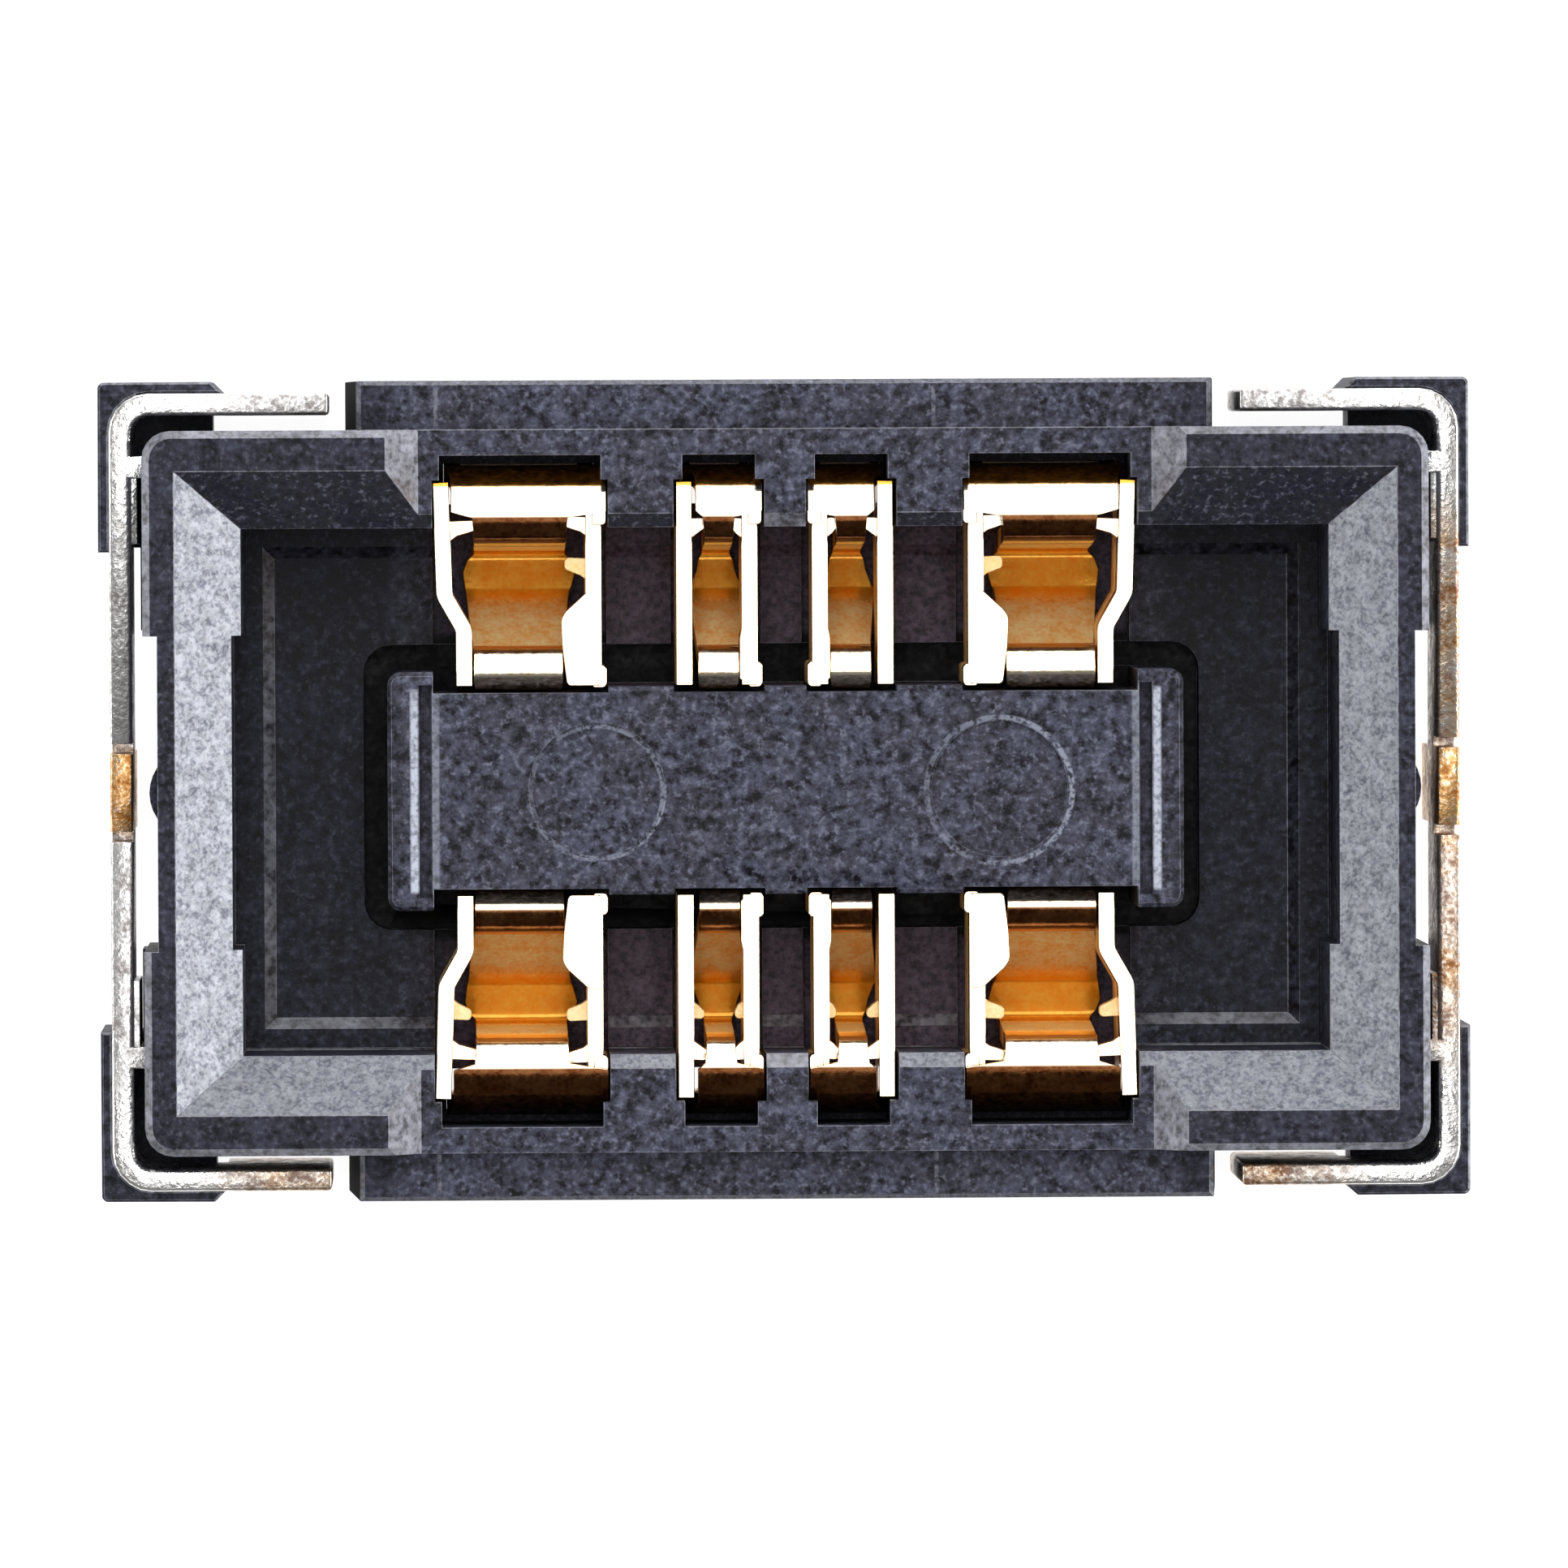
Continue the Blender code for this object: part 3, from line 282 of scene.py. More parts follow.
def zone_group():
    """1 between Low and High, falling to 0 over Soft on both sides."""
    tree, inputs, outputs = new_group("zone", {"Value": 0.0, "Low": 0.0, "High": 1.0, "Soft": 0.1}, ("Mask",))
    value, low, high, soft = (inputs.outputs[name] for name in ("Value", "Low", "High", "Soft"))
    rising = combine(tree, "DIVIDE", combine(tree, "SUBTRACT", value, low), soft)
    falling = combine(tree, "DIVIDE", combine(tree, "SUBTRACT", high, value), soft)
    mask = product(tree, rescale(tree, rising, -1.0, 0.0), rescale(tree, falling, -1.0, 0.0))
    tree.links.new(mask, outputs.inputs["Mask"])
    return tree


def place_group(tree, group):
    node = tree.nodes.new("ShaderNodeGroup")
    node.node_tree = group
    return node


def zone(tree, value, low, high, soft):
    node = place_group(tree, ZONE)
    tree.links.new(value, node.inputs["Value"])
    node.inputs["Low"].default_value = low
    node.inputs["High"].default_value = high
    node.inputs["Soft"].default_value = soft
    return node.outputs["Mask"]


def place_grain(tree, coarse, fine, specks, patch=0.15 * MM):
    """The grain's outputs, for grains of about the sizes given."""
    node = place_group(tree, GRAIN)
    node.inputs["Patch Scale"].default_value = 1.0 / patch
    node.inputs["Coarse Scale"].default_value = 1.0 / coarse
    node.inputs["Fine Scale"].default_value = 1.0 / fine
    node.inputs["Speck Level"].default_value = specks
    return node.outputs


# Finishes

def moulded_plastic(name, shades, roughness, specular, relief):
    """Black plastic between two shades, its roughness between two values."""
    material = new_material(name)
    tree = material.node_tree
    shader = tree.nodes["Principled BSDF"]
    grain = place_grain(tree, 0.036 * MM, 0.017 * MM, 0.56)
    skin = place_group(tree, SKIN)
    for layer in ("Mottle", "Patches", "Specks"):
        tree.links.new(grain[layer], skin.inputs[layer])
    feed(tree, shades[0], skin.inputs["Dark"])
    feed(tree, shades[1], skin.inputs["Pale"])
    tree.links.new(skin.outputs["Color"], shader.inputs["Base Color"])
    tree.links.new(rescale(tree, grain["Mottle"], 0.0, 1.0, *roughness), shader.inputs["Roughness"])
    shader.inputs["Specular IOR Level"].default_value = specular
    tree.links.new(bumped(tree, grain["Height"], relief), shader.inputs["Normal"])
    return material


def marked_plastic():
    """The main plastic: darker ends, moat floors painted warmer as bounced light, ledge ends and groove
    painted black as shadow, pale seam lines, and pale rings and head-slot lines painted as highlights.
    """
    material = moulded_plastic("marked_plastic", SKIN_SHADES, (0.42, 0.62), 0.18, 0.0022 * MM)
    tree = material.node_tree
    shader = tree.nodes["Principled BSDF"]
    colour = shader.inputs["Base Color"].links[0].from_socket
    roughness = shader.inputs["Roughness"].links[0].from_socket
    mottle = place_grain(tree, 0.03 * MM, 0.015 * MM, 0.58)["Mottle"]
    place = place_group(tree, PLACES).outputs
    across, along, height = place["Across"], place["Along"], place["Z"]
    island = zone(tree, height, *ISLAND_HEIGHT, 0.01)
    ends = product(tree, zone(tree, across, *ENDS_ACROSS, 0.06), 0.5)
    colour = blend_colours(tree, ends, colour, (0.004, 0.004, 0.009))
    # The moat floors painted paler and warmer, as light bounced from the gold contacts
    moat_glow = product(tree, zone(tree, height, *MOATS_HEIGHT, 0.02),
                    zone(tree, across, *MOATS_ACROSS, 0.04), 0.7)
    colour = blend_colours(tree, moat_glow, colour, blend_colours(tree, mottle, *MOAT_GLOW_SHADES))
    # The ledges' steep ends painted black and matt as shadow
    ledge_end_shadow = product(tree, zone(tree, across, *LEDGE_END_SHADOW_ACROSS, 0.004),
                   zone(tree, along, *LEDGE_END_SHADOW_ALONG, 0.01))
    colour = blend_colours(tree, ledge_end_shadow, colour, (0.001, 0.001, 0.001))
    tree.links.new(greatest(tree, roughness, ledge_end_shadow), shader.inputs["Roughness"])
    # Pale rings on the round marks' rims are painted highlights, brighter on their +x side
    for x, y, radius in ROUND_MARKS:
        aside = combine(tree, "SUBTRACT", place["X"], x)
        ahead = combine(tree, "SUBTRACT", place["Y"], y)
        away = combine(tree, "ADD", product(tree, aside, aside), product(tree, ahead, ahead))
        away = combine(tree, "SQRT", away)
        ring = zone(tree, away, radius - RING_HALF_WIDTH, radius + RING_HALF_WIDTH, 0.004)
        lit = rescale(tree, aside, -0.2, 0.2, 0.35, 1.0)
        ring = product(tree, ring, lit, rescale(tree, mottle, 0.2, 0.7), island)
        colour = blend_colours(tree, ring, colour, (0.30, 0.32, 0.40))
    seams = greatest(tree, *(zone(tree, place["X"], x, x + SEAM_WIDTH, 0.003) for x in SEAM_LINES))
    seams = product(tree, seams, zone(tree, along, *LEDGES_ALONG, 0.01), mottle)
    colour = blend_colours(tree, seams, colour, (0.22, 0.22, 0.26))
    # Pale lines beside the head slots are painted highlights
    beside = product(tree, zone(tree, along, *HEAD_SLOTS_ALONG, 0.01), island,
                     rescale(tree, mottle, 0.0, 0.7, 0.4, 1.0))
    for low, high, strength in SLOT_HIGHLIGHTS:
        line = product(tree, zone(tree, across, low, high, 0.006), beside, strength)
        colour = blend_colours(tree, line, colour, (0.56, 0.59, 0.70))
    # The groove round the island painted black as shadow
    groove = product(tree, zone(tree, across, *GROOVE_SHADOW_ACROSS, 0.02), zone(tree, along, *GROOVE_SHADOW_ALONG, 0.02),
                     zone(tree, height, *GROOVE_SHADOW_HEIGHT, 0.03))
    colour = blend_colours(tree, groove, colour, (0.001, 0.001, 0.002))
    tree.links.new(colour, shader.inputs["Base Color"])
    return material


def polished_slope():
    """The smooth slopes of the mouth: plastic under a clear skin that is worn off in spots."""
    material = moulded_plastic("polished_plastic", POLISHED_SHADES, (0.22, 0.50), 1.0, 0.0008 * MM)
    tree = material.node_tree
    shader = tree.nodes["Principled BSDF"]
    mottle = place_grain(tree, 0.022 * MM, 0.011 * MM, 0.56)["Mottle"]
    tree.links.new(rescale(tree, mottle, 0.1, 0.7), shader.inputs["Coat Weight"])
    shader.inputs["Coat Roughness"].default_value = 0.28
    shader.inputs["Specular Tint"].default_value = (0.82, 0.87, 1.0, 1.0)
    return material


def contact_gold():
    """Gold: painted deep orange low down as bounced light, matt and tan on the arms, painted pale on the
    crests so their highlights turn white, with painted shade in bands at the bends, painted shadow on the
    tails in their slots, and painted orange fringes at the crests.
    """
    material = new_material("plated_gold")
    tree = material.node_tree
    shader = tree.nodes["Principled BSDF"]
    grain = place_grain(tree, 0.05 * MM, 0.012 * MM, 0.62)
    mottle = grain["Mottle"]
    place = place_group(tree, PLACES).outputs
    height = place["Z"]
    # Colour by height is painted light: deep orange low down for light bounced between the gold walls, pale
    # high up so the highlights turn white
    raised = rescale(tree, height, 0.41, 0.47)
    deep = blend_colours(tree, mottle, (0.95, 0.36, 0.012), (1.0, 0.54, 0.05))
    tan = blend_colours(tree, mottle, (0.94, 0.50, 0.14), (1.0, 0.84, 0.44))
    pale = blend_colours(tree, mottle, (0.98, 0.82, 0.56), (1.0, 0.91, 0.74))
    # The dark brown of painted shade
    shade_brown = blend_colours(tree, mottle, (0.07, 0.020, 0.006), (0.17, 0.07, 0.025))
    colour = blend_colours(tree, rescale(tree, height, 0.17, 0.24), deep, tan)
    colour = blend_colours(tree, raised, colour, pale)
    # Painted orange fringes: faces turned from the camera, and a band at the rear crests' outer side, painted
    # as the border of the highlights
    turned = tree.nodes.new("ShaderNodeLayerWeight")
    turned.inputs["Blend"].default_value = 0.5
    edge = greatest(tree, rescale(tree, turned.outputs["Facing"], 0.25, 0.75),
                    zone(tree, place["Y"], *CREST_FRINGE, 0.006))
    colour = blend_colours(tree, product(tree, edge, raised), colour, (0.78, 0.36, 0.05))
    not_rails = tree.nodes.new("ShaderNodeAttribute")
    not_rails.attribute_name = "strip"
    # Bands of the strip facing away from the light painted dark brown as shade
    shade_band_mask = greatest(tree, *(zone(tree, place["Y"], low, high, 0.006) for low, high in SHADE_BANDS))
    shade_band_mask = product(tree, shade_band_mask, zone(tree, height, 0.40, 0.60, 0.03), not_rails.outputs["Fac"])
    colour = blend_colours(tree, shade_band_mask, colour, shade_brown)
    # The tails low in their slots painted nearly black as shadow
    slot_shadow = product(tree, zone(tree, place["Along"], 0.865, 0.97, 0.02),
                     zone(tree, height, -1.0, 0.13, 0.03))
    colour = blend_colours(tree, slot_shadow, colour, (0.02, 0.008, 0.002))
    tree.links.new(colour, shader.inputs["Base Color"])
    matt = zone(tree, height, 0.23, 0.39, 0.05)
    rough = combine(tree, "ADD", rescale(tree, mottle, 0.0, 1.0, 0.13, 0.22), product(tree, matt, 0.25))
    metallic = combine(tree, "SUBTRACT", rescale(tree, raised, 0.0, 1.0, 0.4, 1.0), product(tree, matt, 0.3))
    tree.links.new(rough, shader.inputs["Roughness"])
    tree.links.new(metallic, shader.inputs["Metallic"])
    tree.links.new(bumped(tree, grain["Height"], 0.0007 * MM), shader.inputs["Normal"])
    return material


def fitting_metal():
    """Sheared plating: mottled silver with brown and gold patches, a little smoother at the bent corners,
    where a pale highlight is painted.
    """
    material = new_material("sheared_plating")
    tree = material.node_tree
    shader = tree.nodes["Principled BSDF"]
    grain = place_grain(tree, 0.045 * MM, 0.013 * MM, 0.52, 0.12 * MM)
    mottle = grain["Mottle"]
    place = place_group(tree, PLACES).outputs
    silver = blend_colours(tree, mottle, (0.36, 0.33, 0.32), (0.96, 0.95, 0.94))
    gold = blend_colours(tree, mottle, (0.30, 0.13, 0.05), (0.95, 0.72, 0.48))
    tab = blend_colours(tree, mottle, (0.42, 0.17, 0.04), (0.98, 0.62, 0.28))
    right_end = product(tree, rescale(tree, place["X"], 1.2, 1.6), rescale(tree, place["Y"], 0.95, 0.80))
    front = rescale(tree, place["Y"], -0.85, -1.0, 0.0, 0.9)
    warm = greatest(tree, right_end, front, zone(tree, place["Along"], 0.0, 0.10, 0.03))
    warm = product(tree, warm, rescale(tree, grain["Patches"], 0.0, 1.0, 0.45, 1.0))
    colour = blend_colours(tree, warm, silver, gold)
    colour = blend_colours(tree, zone(tree, place["Along"], -1.0, 0.10, 0.005), colour, tab)
    colour = blend_colours(tree, grain["Specks"], colour, (0.90, 0.88, 0.86))
    # The bent corners painted pale as a highlight, and made a little smoother
    bent = product(tree, rescale(tree, place["Across"], 1.42, 1.56),
                   rescale(tree, place["Along"], 0.66, 0.80))
    colour = blend_colours(tree, bent, colour, (0.96, 0.95, 0.92))
    rough = combine(tree, "SUBTRACT", rescale(tree, mottle, 0.0, 1.0, 0.48, 0.26), product(tree, bent, 0.1))
    tree.links.new(colour, shader.inputs["Base Color"])
    tree.links.new(rough, shader.inputs["Roughness"])
    shader.inputs["Metallic"].default_value = 1.0
    tree.links.new(bumped(tree, grain["Height"], 0.004 * MM), shader.inputs["Normal"])
    return material


# Pieces

def link(obj):
    bpy.context.scene.collection.objects.link(obj)
    return obj


def clean_copy(node):
    """A CAD node's mesh as a bmesh with its loose triangles merged into whole faces."""
    bm = bmesh.new()
    bm.from_mesh(frame["nodes"][node].data)
    bmesh.ops.remove_doubles(bm, verts=bm.verts, dist=MERGE)
    bmesh.ops.dissolve_limit(bm, angle_limit=math.radians(1.0), verts=bm.verts, edges=bm.edges,
                             use_dissolve_boundaries=False)
    return bm


def finished_piece(name, bm, finish):
    mesh = bpy.data.meshes.new(name)
    bm.to_mesh(mesh)
    bm.free()
    mesh.materials.append(finish)
    piece = link(bpy.data.objects.new(name, mesh))
    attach(piece, "root")
    return piece


def soften_edges(piece, width, sharpest, segments=2, slot=-1):
    """Rounds the edges that bend more than the angle sharpest, or without it the weighted ones, and shades
    the piece smooth. The rounded edges take the finish in the given slot."""
    bevel = piece.modifiers.new("edges", "BEVEL")
    bevel.width = width
    bevel.segments = segments
    bevel.limit_method = "ANGLE" if sharpest else "WEIGHT"
    bevel.angle_limit = math.radians(sharpest or 180)
    bevel.use_clamp_overlap = True
    bevel.harden_normals = True
    bevel.material = slot
    piece.data.shade_smooth()


def breadth(face):
    """About how wide a face is across its narrow way."""
    return 2 * face.calc_area() / face.calc_perimeter()


def dress_housing():
    """The CAD housing with eased edges: slopes in a smoother skin; edges, small facets and the recess's
    slopes facing +x or +y painted pale as highlights.
    """
    bm = clean_copy("housing")
    for face in bm.faces:
        middle = face.calc_center_median() / MM
        high = middle.z > SLOPES_FROM_Z
        slope = SLOPE_LOWEST < face.normal.z < SLOPE_HIGHEST
        facet = FACET_LOWEST < face.normal.z < SLOPE_LOWEST or slope and breadth(face) < NARROW * MM
        on_island = abs(middle.x) < ISLAND_END_X and abs(middle.y) < ISLAND_SIDE_Y
        on_ledge = abs(middle.y) > LEDGES_FROM_Y
        lit_recess_slope = slope and not high and max(face.normal.x, face.normal.y) > LIT_SIDE
        if high and facet and not on_island and not on_ledge or lit_recess_slope:
            face.material_index = HIGHLIGHT_SLOT
        elif high and slope and not on_island:
            face.material_index = LEAD_IN_SLOT
    weights = bm.edges.layers.float.new("bevel_weight_edge")
    for edge in bm.edges:
        narrowest = min(breadth(face) for face in edge.link_faces)
        bent = edge.calc_face_angle(math.pi) > LEAST_BEND
        roomy = len(edge.link_faces) == 2 and narrowest > NARROW * MM
        shallow = narrowest < SHALLOW * MM and edge.is_convex
        edge[weights] = 1.0 if roomy and bent else SHALLOW_WEIGHT if shallow and bent else 0.0
        edge.smooth = not bent
    piece = finished_piece("housing_body", bm, finishes["housing"])
    piece.data.materials.append(finishes["lead_in"])
    piece.data.materials.append(finishes["painted_highlight"])
    soften_edges(piece, HOUSING_EDGE * MM, None, slot=HIGHLIGHT_SLOT)
    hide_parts("housing")


# Contacts, made in millimetres for the rear row and at x 0

def rounded(corners, closed=False):
    """A path through corners (a, b, radius, *rest) with an arc at each, rest blended along it."""
    path = []
    last = len(corners) - 1
    for index, (a, b, radius, *rest) in enumerate(corners):
        if not radius or not closed and index in (0, last):
            path.append((a, b, *rest))
            continue
        before = corners[index - 1]
        after = corners[(index + 1) % len(corners)]
        here = Vector((a, b))
        back = Vector(before[:2]) - here
        ahead = Vector(after[:2]) - here
        half = back.angle(ahead) / 2
        reach = radius / math.tan(half)
        centre = here + (back.normalized() + ahead.normalized()).normalized() * radius / math.sin(half)
        start = here + back.normalized() * reach - centre
        end = here + ahead.normalized() * reach - centre
        sweep = start.angle(end)
        for step in range(BEND_STEPS + 1):
            turn = step / BEND_STEPS
            arm = (start * math.sin((1 - turn) * sweep) + end * math.sin(turn * sweep)) / math.sin(sweep)
            other, far = (before, back.length) if turn < 0.5 else (after, ahead.length)
            share = abs(2 * turn - 1) * reach / far
            blend = [mine + (theirs - mine) * share for mine, theirs in zip(rest, other[3:])]
            path.append((*(centre + arm), *blend))
    return path


def add_sheet(bm, near, far, thickness):
    """Sheet metal between two rows of points, which run in the middle of its thickness."""
    row = [bm.verts.new(point) for point in near]
    places = {vert.co.to_tuple(): point for vert, point in zip(row, far)}
    edges = [bm.edges.new(pair) for pair in zip(row, row[1:])]
    swept = bmesh.ops.extrude_edge_only(bm, edges=edges)["geom"]
    moved = [item for item in swept if isinstance(item, bmesh.types.BMVert)]
    faces = [item for item in swept if isinstance(item, bmesh.types.BMFace)]
    for vert in moved:
        vert.co = places[vert.co.to_tuple()]
    bmesh.ops.recalc_face_normals(bm, faces=faces)
    for vert in row + moved:
        vert.normal_update()
    shift = {vert.co.to_tuple(): vert.normal * thickness / 2 for vert in row + moved}
    raised = bmesh.ops.extrude_face_region(bm, geom=faces)["geom"]
    upper = [item for item in raised if isinstance(item, bmesh.types.BMVert)]
    for vert in upper:
        vert.co += shift[vert.co.to_tuple()]
    for vert in row + moved:
        vert.co -= shift[vert.co.to_tuple()]


def add_plate(bm, corners, low, high):
    """A flat plate: a closed outline of corners (x, y, radius) from z low to z high."""
    base = bm.faces.new([bm.verts.new((x, y, low)) for x, y in rounded(corners, closed=True)])
    raised = bmesh.ops.extrude_face_region(bm, geom=[base])["geom"]
    top = [item for item in raised if isinstance(item, bmesh.types.BMVert)]
    bmesh.ops.translate(bm, vec=(0, 0, high - low), verts=top)


def add_strip(bm, corners):
    """The bent strip; each corner is (y, z, radius, left, right)."""
    path = rounded(corners)
    left = [(left, y, z) for y, z, left, right in path]
    right = [(right, y, z) for y, z, left, right in path]
    add_sheet(bm, left, right, SHEET)
    strip = bm.verts.layers.float.new("strip")
    for vert in bm.verts:
        vert[strip] = 1.0


def add_rail(bm, corners):
    """An upright rail along corners (x, y, radius)."""
    path = rounded(corners)
    add_sheet(bm, [(x, y, RAIL_LOW) for x, y in path], [(x, y, RAIL_HIGH) for x, y in path], RAIL_SHEET)


def add_straight_rail(bm, x):
    add_rail(bm, [(x, RAIL_TO_Y, 0), (x, RAIL_FROM_Y, 0)])


def add_inner_foot(bm, near, far, end):
    """The thick end of a rail beside the spring arm, from x near to far and up to y end."""
    start = INNER_FOOT_FROM_Y
    corners = [(near, start, 0.008), (far, start, 0.012), (far, end, 0.012), (near, end, 0)]
    add_plate(bm, corners, RAIL_LOW, RAIL_HIGH - 0.003)


def add_outer_foot(bm, near, far):
    """The thick end of a rail beside the crest, from x near to far."""
    start, end = OUTER_FOOT_Y
    corners = [(near, start, 0), (far, start, 0.012), (far, end, 0.012), (near, end, 0.008)]
    add_plate(bm, corners, RAIL_LOW, RAIL_HIGH + 0.004)


def add_hook(bm, side, edge, rail, y, width, drop):
    """A curved tab from the rail at x rail to the strip's edge at x edge, its outer side at y."""
    inner = y - width
    corners = [(side * (rail + 0.012), y, 0), (side * (edge - 0.016), y + 0.004, 0.012),
               (side * (edge - 0.016), inner + 0.012, 0.012), (side * (rail - 0.034), inner - 0.004, 0.02),
               (side * (rail - 0.010), inner - 0.022, 0), (side * (rail + 0.012), inner - 0.022, 0)]
    add_plate(bm, corners, RAIL_HIGH - drop - SHEET, RAIL_HIGH - drop)


def strip_corners(tail, post, crest, wide, leg, floor, arm, shift):
    """The strip's corners (y, z, radius, left, right) from tail to tip. The crest reaches to wide at its
    right, and the arm is moved sideways by shift; the other names are half widths."""
    left, right = shift - arm, shift + arm
    return [
        (TAIL_END_Y, SHEET / 2, 0, -tail, tail),
        (0.900, SHEET / 2, 0, -tail, tail),
        (POST_Y, SHEET / 2, 0.05, -post, post),
        (POST_Y, 0.450, 0, -post, post),
        (POST_Y, CREST_Z, 0.095, -crest, wide),
        (0.738, CREST_Z, 0, -crest, wide),
        (0.722, CREST_Z, 0, -leg - 0.004, leg + 0.004),
        (0.680, CREST_Z, 0.040, -leg, leg),
        (0.650, 0.105, 0.045, -leg, leg),
        (0.570, 0.122, 0, -floor, floor),
        (0.511, 0.135, 0.04, left - 0.02, right + 0.02),
        (0.350, 0.374, 0.035, left, right),
        (0.363, 0.470, 0.034, left, right),
        (0.288, 0.485, 0.026, left, right),
        (0.292, 0.410, 0, left + 0.01, right - 0.01),
    ]


def power_contact(towards):
    """A wide contact; its left rail bends inwards, and a tapering tab lies beside the arm at its right."""
    left_rail, right_rail = 0.200, 0.194
    bm = bmesh.new()
    add_strip(bm, strip_corners(tail=0.15, post=0.2005, crest=0.182, wide=0.228, leg=0.122, floor=0.150,
                                arm=0.118, shift=-0.005))
    add_rail(bm, [(-left_rail - 0.009, RAIL_TO_Y, 0), (-left_rail, 0.517, 0.05), (-0.149, 0.427, 0.05),
                  (-0.149, RAIL_FROM_Y, 0)])
    add_straight_rail(bm, right_rail)
    tab = [(0.210, RAIL_FROM_Y, 0.010), (0.210, 0.528, 0), (0.180, 0.528, 0.02), (0.108, 0.462, 0.05),
           (0.112, 0.380, 0.06), (0.124, RAIL_FROM_Y, 0.012)]
    add_plate(bm, tab, RAIL_HIGH - SHEET, RAIL_HIGH + 0.003)
    add_inner_foot(bm, 0.190, 0.228, 0.330)
    add_outer_foot(bm, 0.190, 0.228)
    add_hook(bm, -1, 0.125, left_rail, 0.712, 0.034, UPPER_DROP)
    add_hook(bm, 1, 0.125, right_rail, 0.722, 0.034, 0.045)
    add_hook(bm, 1, 0.135, right_rail, 0.612, 0.040, LOWER_DROP)
    if towards < 0:
        add_hook(bm, -1, 0.150, left_rail, 0.608, 0.036, LOWER_DROP)
    return bm


def signal_contact(towards):
    """A narrow contact with two straight rails and a small tab beside the arm at its right."""
    rails = ((-1, 0.091), (1, 0.082))
    bm = bmesh.new()
    add_strip(bm, strip_corners(tail=0.06, post=0.0915, crest=0.061, wide=0.115, leg=0.038, floor=0.052,
                                arm=0.054, shift=0.0))
    for side, rail in rails:
        add_straight_rail(bm, side * rail)
    for side, rail in rails:
        add_hook(bm, side, 0.050, rail, 0.716, 0.036, UPPER_DROP)
    add_outer_foot(bm, 0.078, 0.115)
    add_inner_foot(bm, 0.078, 0.115, 0.338)
    if towards < 0:
        for side, rail in rails:
            add_hook(bm, side, 0.056, rail, 0.608, 0.030, LOWER_DROP)
    tab = [(0.056, 0.290, 0.006), (0.075, 0.290, 0), (0.075, 0.500, 0), (0.056, 0.400, 0.03)]
    add_plate(bm, tab, RAIL_HIGH - SHEET, RAIL_HIGH - 0.006)
    return bm


def place_contacts():
    kinds = (("power", power_contact, POWER_OFFSET), ("signal", signal_contact, SIGNAL_PITCH / 2))
    for kind, build, offset in kinds:
        for row, towards in (("rear", 1), ("front", -1)):
            for side, hand in (("left", 1), ("right", -1)):
                node = f"{kind}_contact_{row}_{side}"
                bm = build(towards)
                size = Matrix.Diagonal((hand * MM, towards * MM, MM, 1.0))
                shift = Matrix.Translation((-hand * offset * MM, 0, 0))
                bmesh.ops.transform(bm, matrix=shift @ size, verts=bm.verts)
                bmesh.ops.recalc_face_normals(bm, faces=bm.faces)
                piece = finished_piece(f"formed_{node}", bm, finishes["contact"])
                soften_edges(piece, CONTACT_EDGE * MM, METAL_BEND, segments=3)
                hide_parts(node)


# End fittings

def dress_fittings():
    for side in ("left", "right"):
        node = f"end_fitting_{side}"
        bm = clean_copy(node)
        spread = {vert: vert.normal * vert.calc_shell_factor() * PLATING * MM for vert in bm.verts}
        for vert, shift in spread.items():
            vert.co.xy += shift.xy
        piece = finished_piece(f"plated_{node}", bm, finishes["fitting"])
        soften_edges(piece, FITTING_EDGE * MM, METAL_BEND)
        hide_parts(node)


# Studio

def add_camera():
    data = bpy.data.cameras.new("camera")
    data.sensor_width = SENSOR
    data.lens = LENS
    data.clip_start = 1 * MM
    data.clip_end = 1000 * MM
    distance = VIEW_WIDTH * LENS / SENSOR
    back = Vector((-math.tan(LEAN_LEFT), math.tan(LEAN_REAR), 1.0)).normalized()
    camera = link(bpy.data.objects.new("camera", data))
    look = (-back).to_track_quat("-Z", "Y").to_matrix()
    # The picture's top stays towards +Y, apart from the roll
    right = Vector((math.cos(ROLL), -math.sin(ROLL), 0.0))
    ahead = look @ Vector((0.0, 0.0, -1.0))
    right = (right - ahead * right.dot(ahead)).normalized()
    up = right.cross(ahead)
    turn = Matrix((right, up, -ahead)).transposed().to_4x4()
    camera.matrix_world = Matrix.Translation(AIM + back * distance) @ turn
    bpy.context.scene.camera = camera


def add_panel(name, azimuth, elevation, width, height, radiance):
    """A soft panel lamp; azimuth 0 is +X and 90 is +Y, and width and height are the angles that it spans."""
    turn, rise = math.radians(azimuth), math.radians(elevation)
    towards = Vector((math.cos(turn) * math.cos(rise), math.sin(turn) * math.cos(rise), math.sin(rise)))
    data = bpy.data.lights.new(name, "AREA")
    data.shape = "RECTANGLE"
    data.size = 2 * LAMP_DISTANCE * math.tan(math.radians(width) / 2)
    data.size_y = 2 * LAMP_DISTANCE * math.tan(math.radians(height) / 2)
    data.energy = radiance * math.pi * data.size * data.size_y
    lamp = link(bpy.data.objects.new(name, data))
    lamp.visible_camera = False
    lamp.location = AIM + towards * LAMP_DISTANCE
    lamp.rotation_euler = (-towards).to_track_quat("-Z", "Y").to_euler()


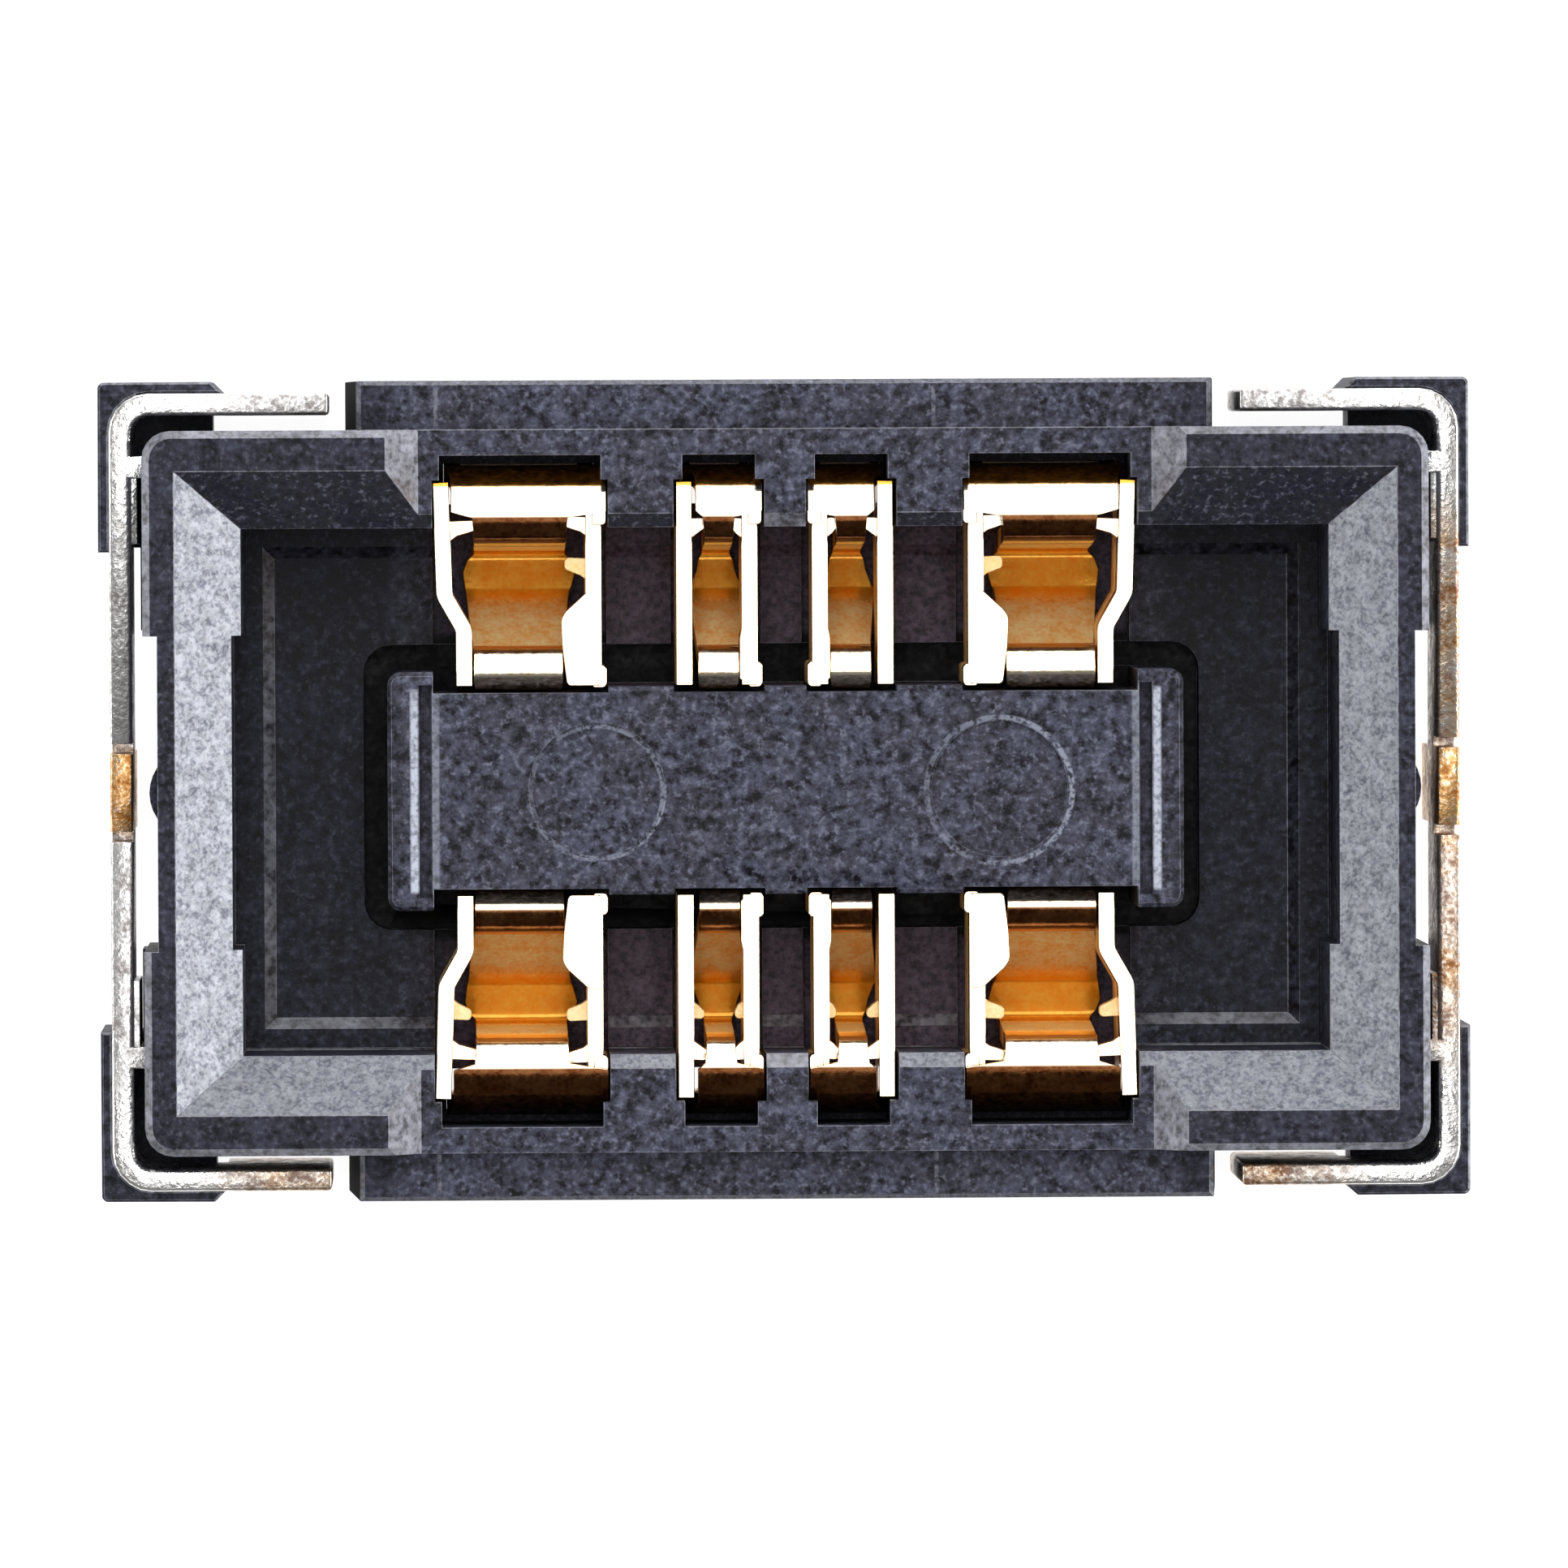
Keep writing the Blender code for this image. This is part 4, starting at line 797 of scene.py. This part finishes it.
def add_lamps():
    add_panel("lamp_over", 90, 64, 26, 76, 2.4)
    add_panel("lamp_right", 0, 20, 40, 26, 8.0)
    add_panel("lamp_rear", 90, 14, 40, 24, 4.1)
    add_panel("lamp_left", 180, 22, 40, 26, 4.2)


def add_world():
    world = bpy.data.worlds.new("studio")
    world.use_nodes = True
    background = world.node_tree.nodes["Background"]
    background.inputs["Color"].default_value = (1.0, 1.0, 1.0, 1.0)
    background.inputs["Strength"].default_value = 0.18
    bpy.context.scene.world = world


def add_floor():
    bm = bmesh.new()
    bmesh.ops.create_grid(bm, x_segments=1, y_segments=1, size=60 * MM)
    mesh = bpy.data.meshes.new("floor")
    bm.to_mesh(mesh)
    bm.free()
    floor = link(bpy.data.objects.new("floor", mesh))
    material = new_material("pale_floor")
    tree = material.node_tree
    shader = tree.nodes["Principled BSDF"]
    shader.inputs["Base Color"].default_value = (0.35, 0.35, 0.35, 1.0)
    shader.inputs["Roughness"].default_value = 0.9
    shader.inputs["Specular IOR Level"].default_value = 0.1
    shader.inputs["Emission Color"].default_value = (1.0, 1.0, 1.0, 1.0)
    path = tree.nodes.new("ShaderNodeLightPath")
    seen = combine(tree, "ADD", path.outputs["Is Camera Ray"], path.outputs["Is Glossy Ray"])
    seen = combine(tree, "ADD", seen, path.outputs["Is Transmission Ray"])
    tree.links.new(rescale(tree, seen, 0.0, 1.0, 0.1, 0.94), shader.inputs["Emission Strength"])
    mesh.materials.append(material)


bpy.context.scene.view_settings.view_transform = "Standard"
GRAIN = grain_group()
SKIN = skin_group()
PLACES = places_group()
ZONE = zone_group()
finishes = {
    "housing": marked_plastic(),
    # A paler, glossier plastic that paints highlights on the housing's edges and facets
    "painted_highlight": moulded_plastic("highlight_plastic", HIGHLIGHT_SHADES, (0.32, 0.5), 0.7, 0.0015 * MM),
    "lead_in": polished_slope(),
    "contact": contact_gold(),
    "fitting": fitting_metal(),
}
for part in frame["record"]["subparts"]:
    node = frame["nodes"][part["node"]]
    for slot in node.material_slots:
        slot.material = finishes[part["material_slot"]]

dress_housing()
place_contacts()
dress_fittings()
add_camera()
add_lamps()
add_world()
add_floor()
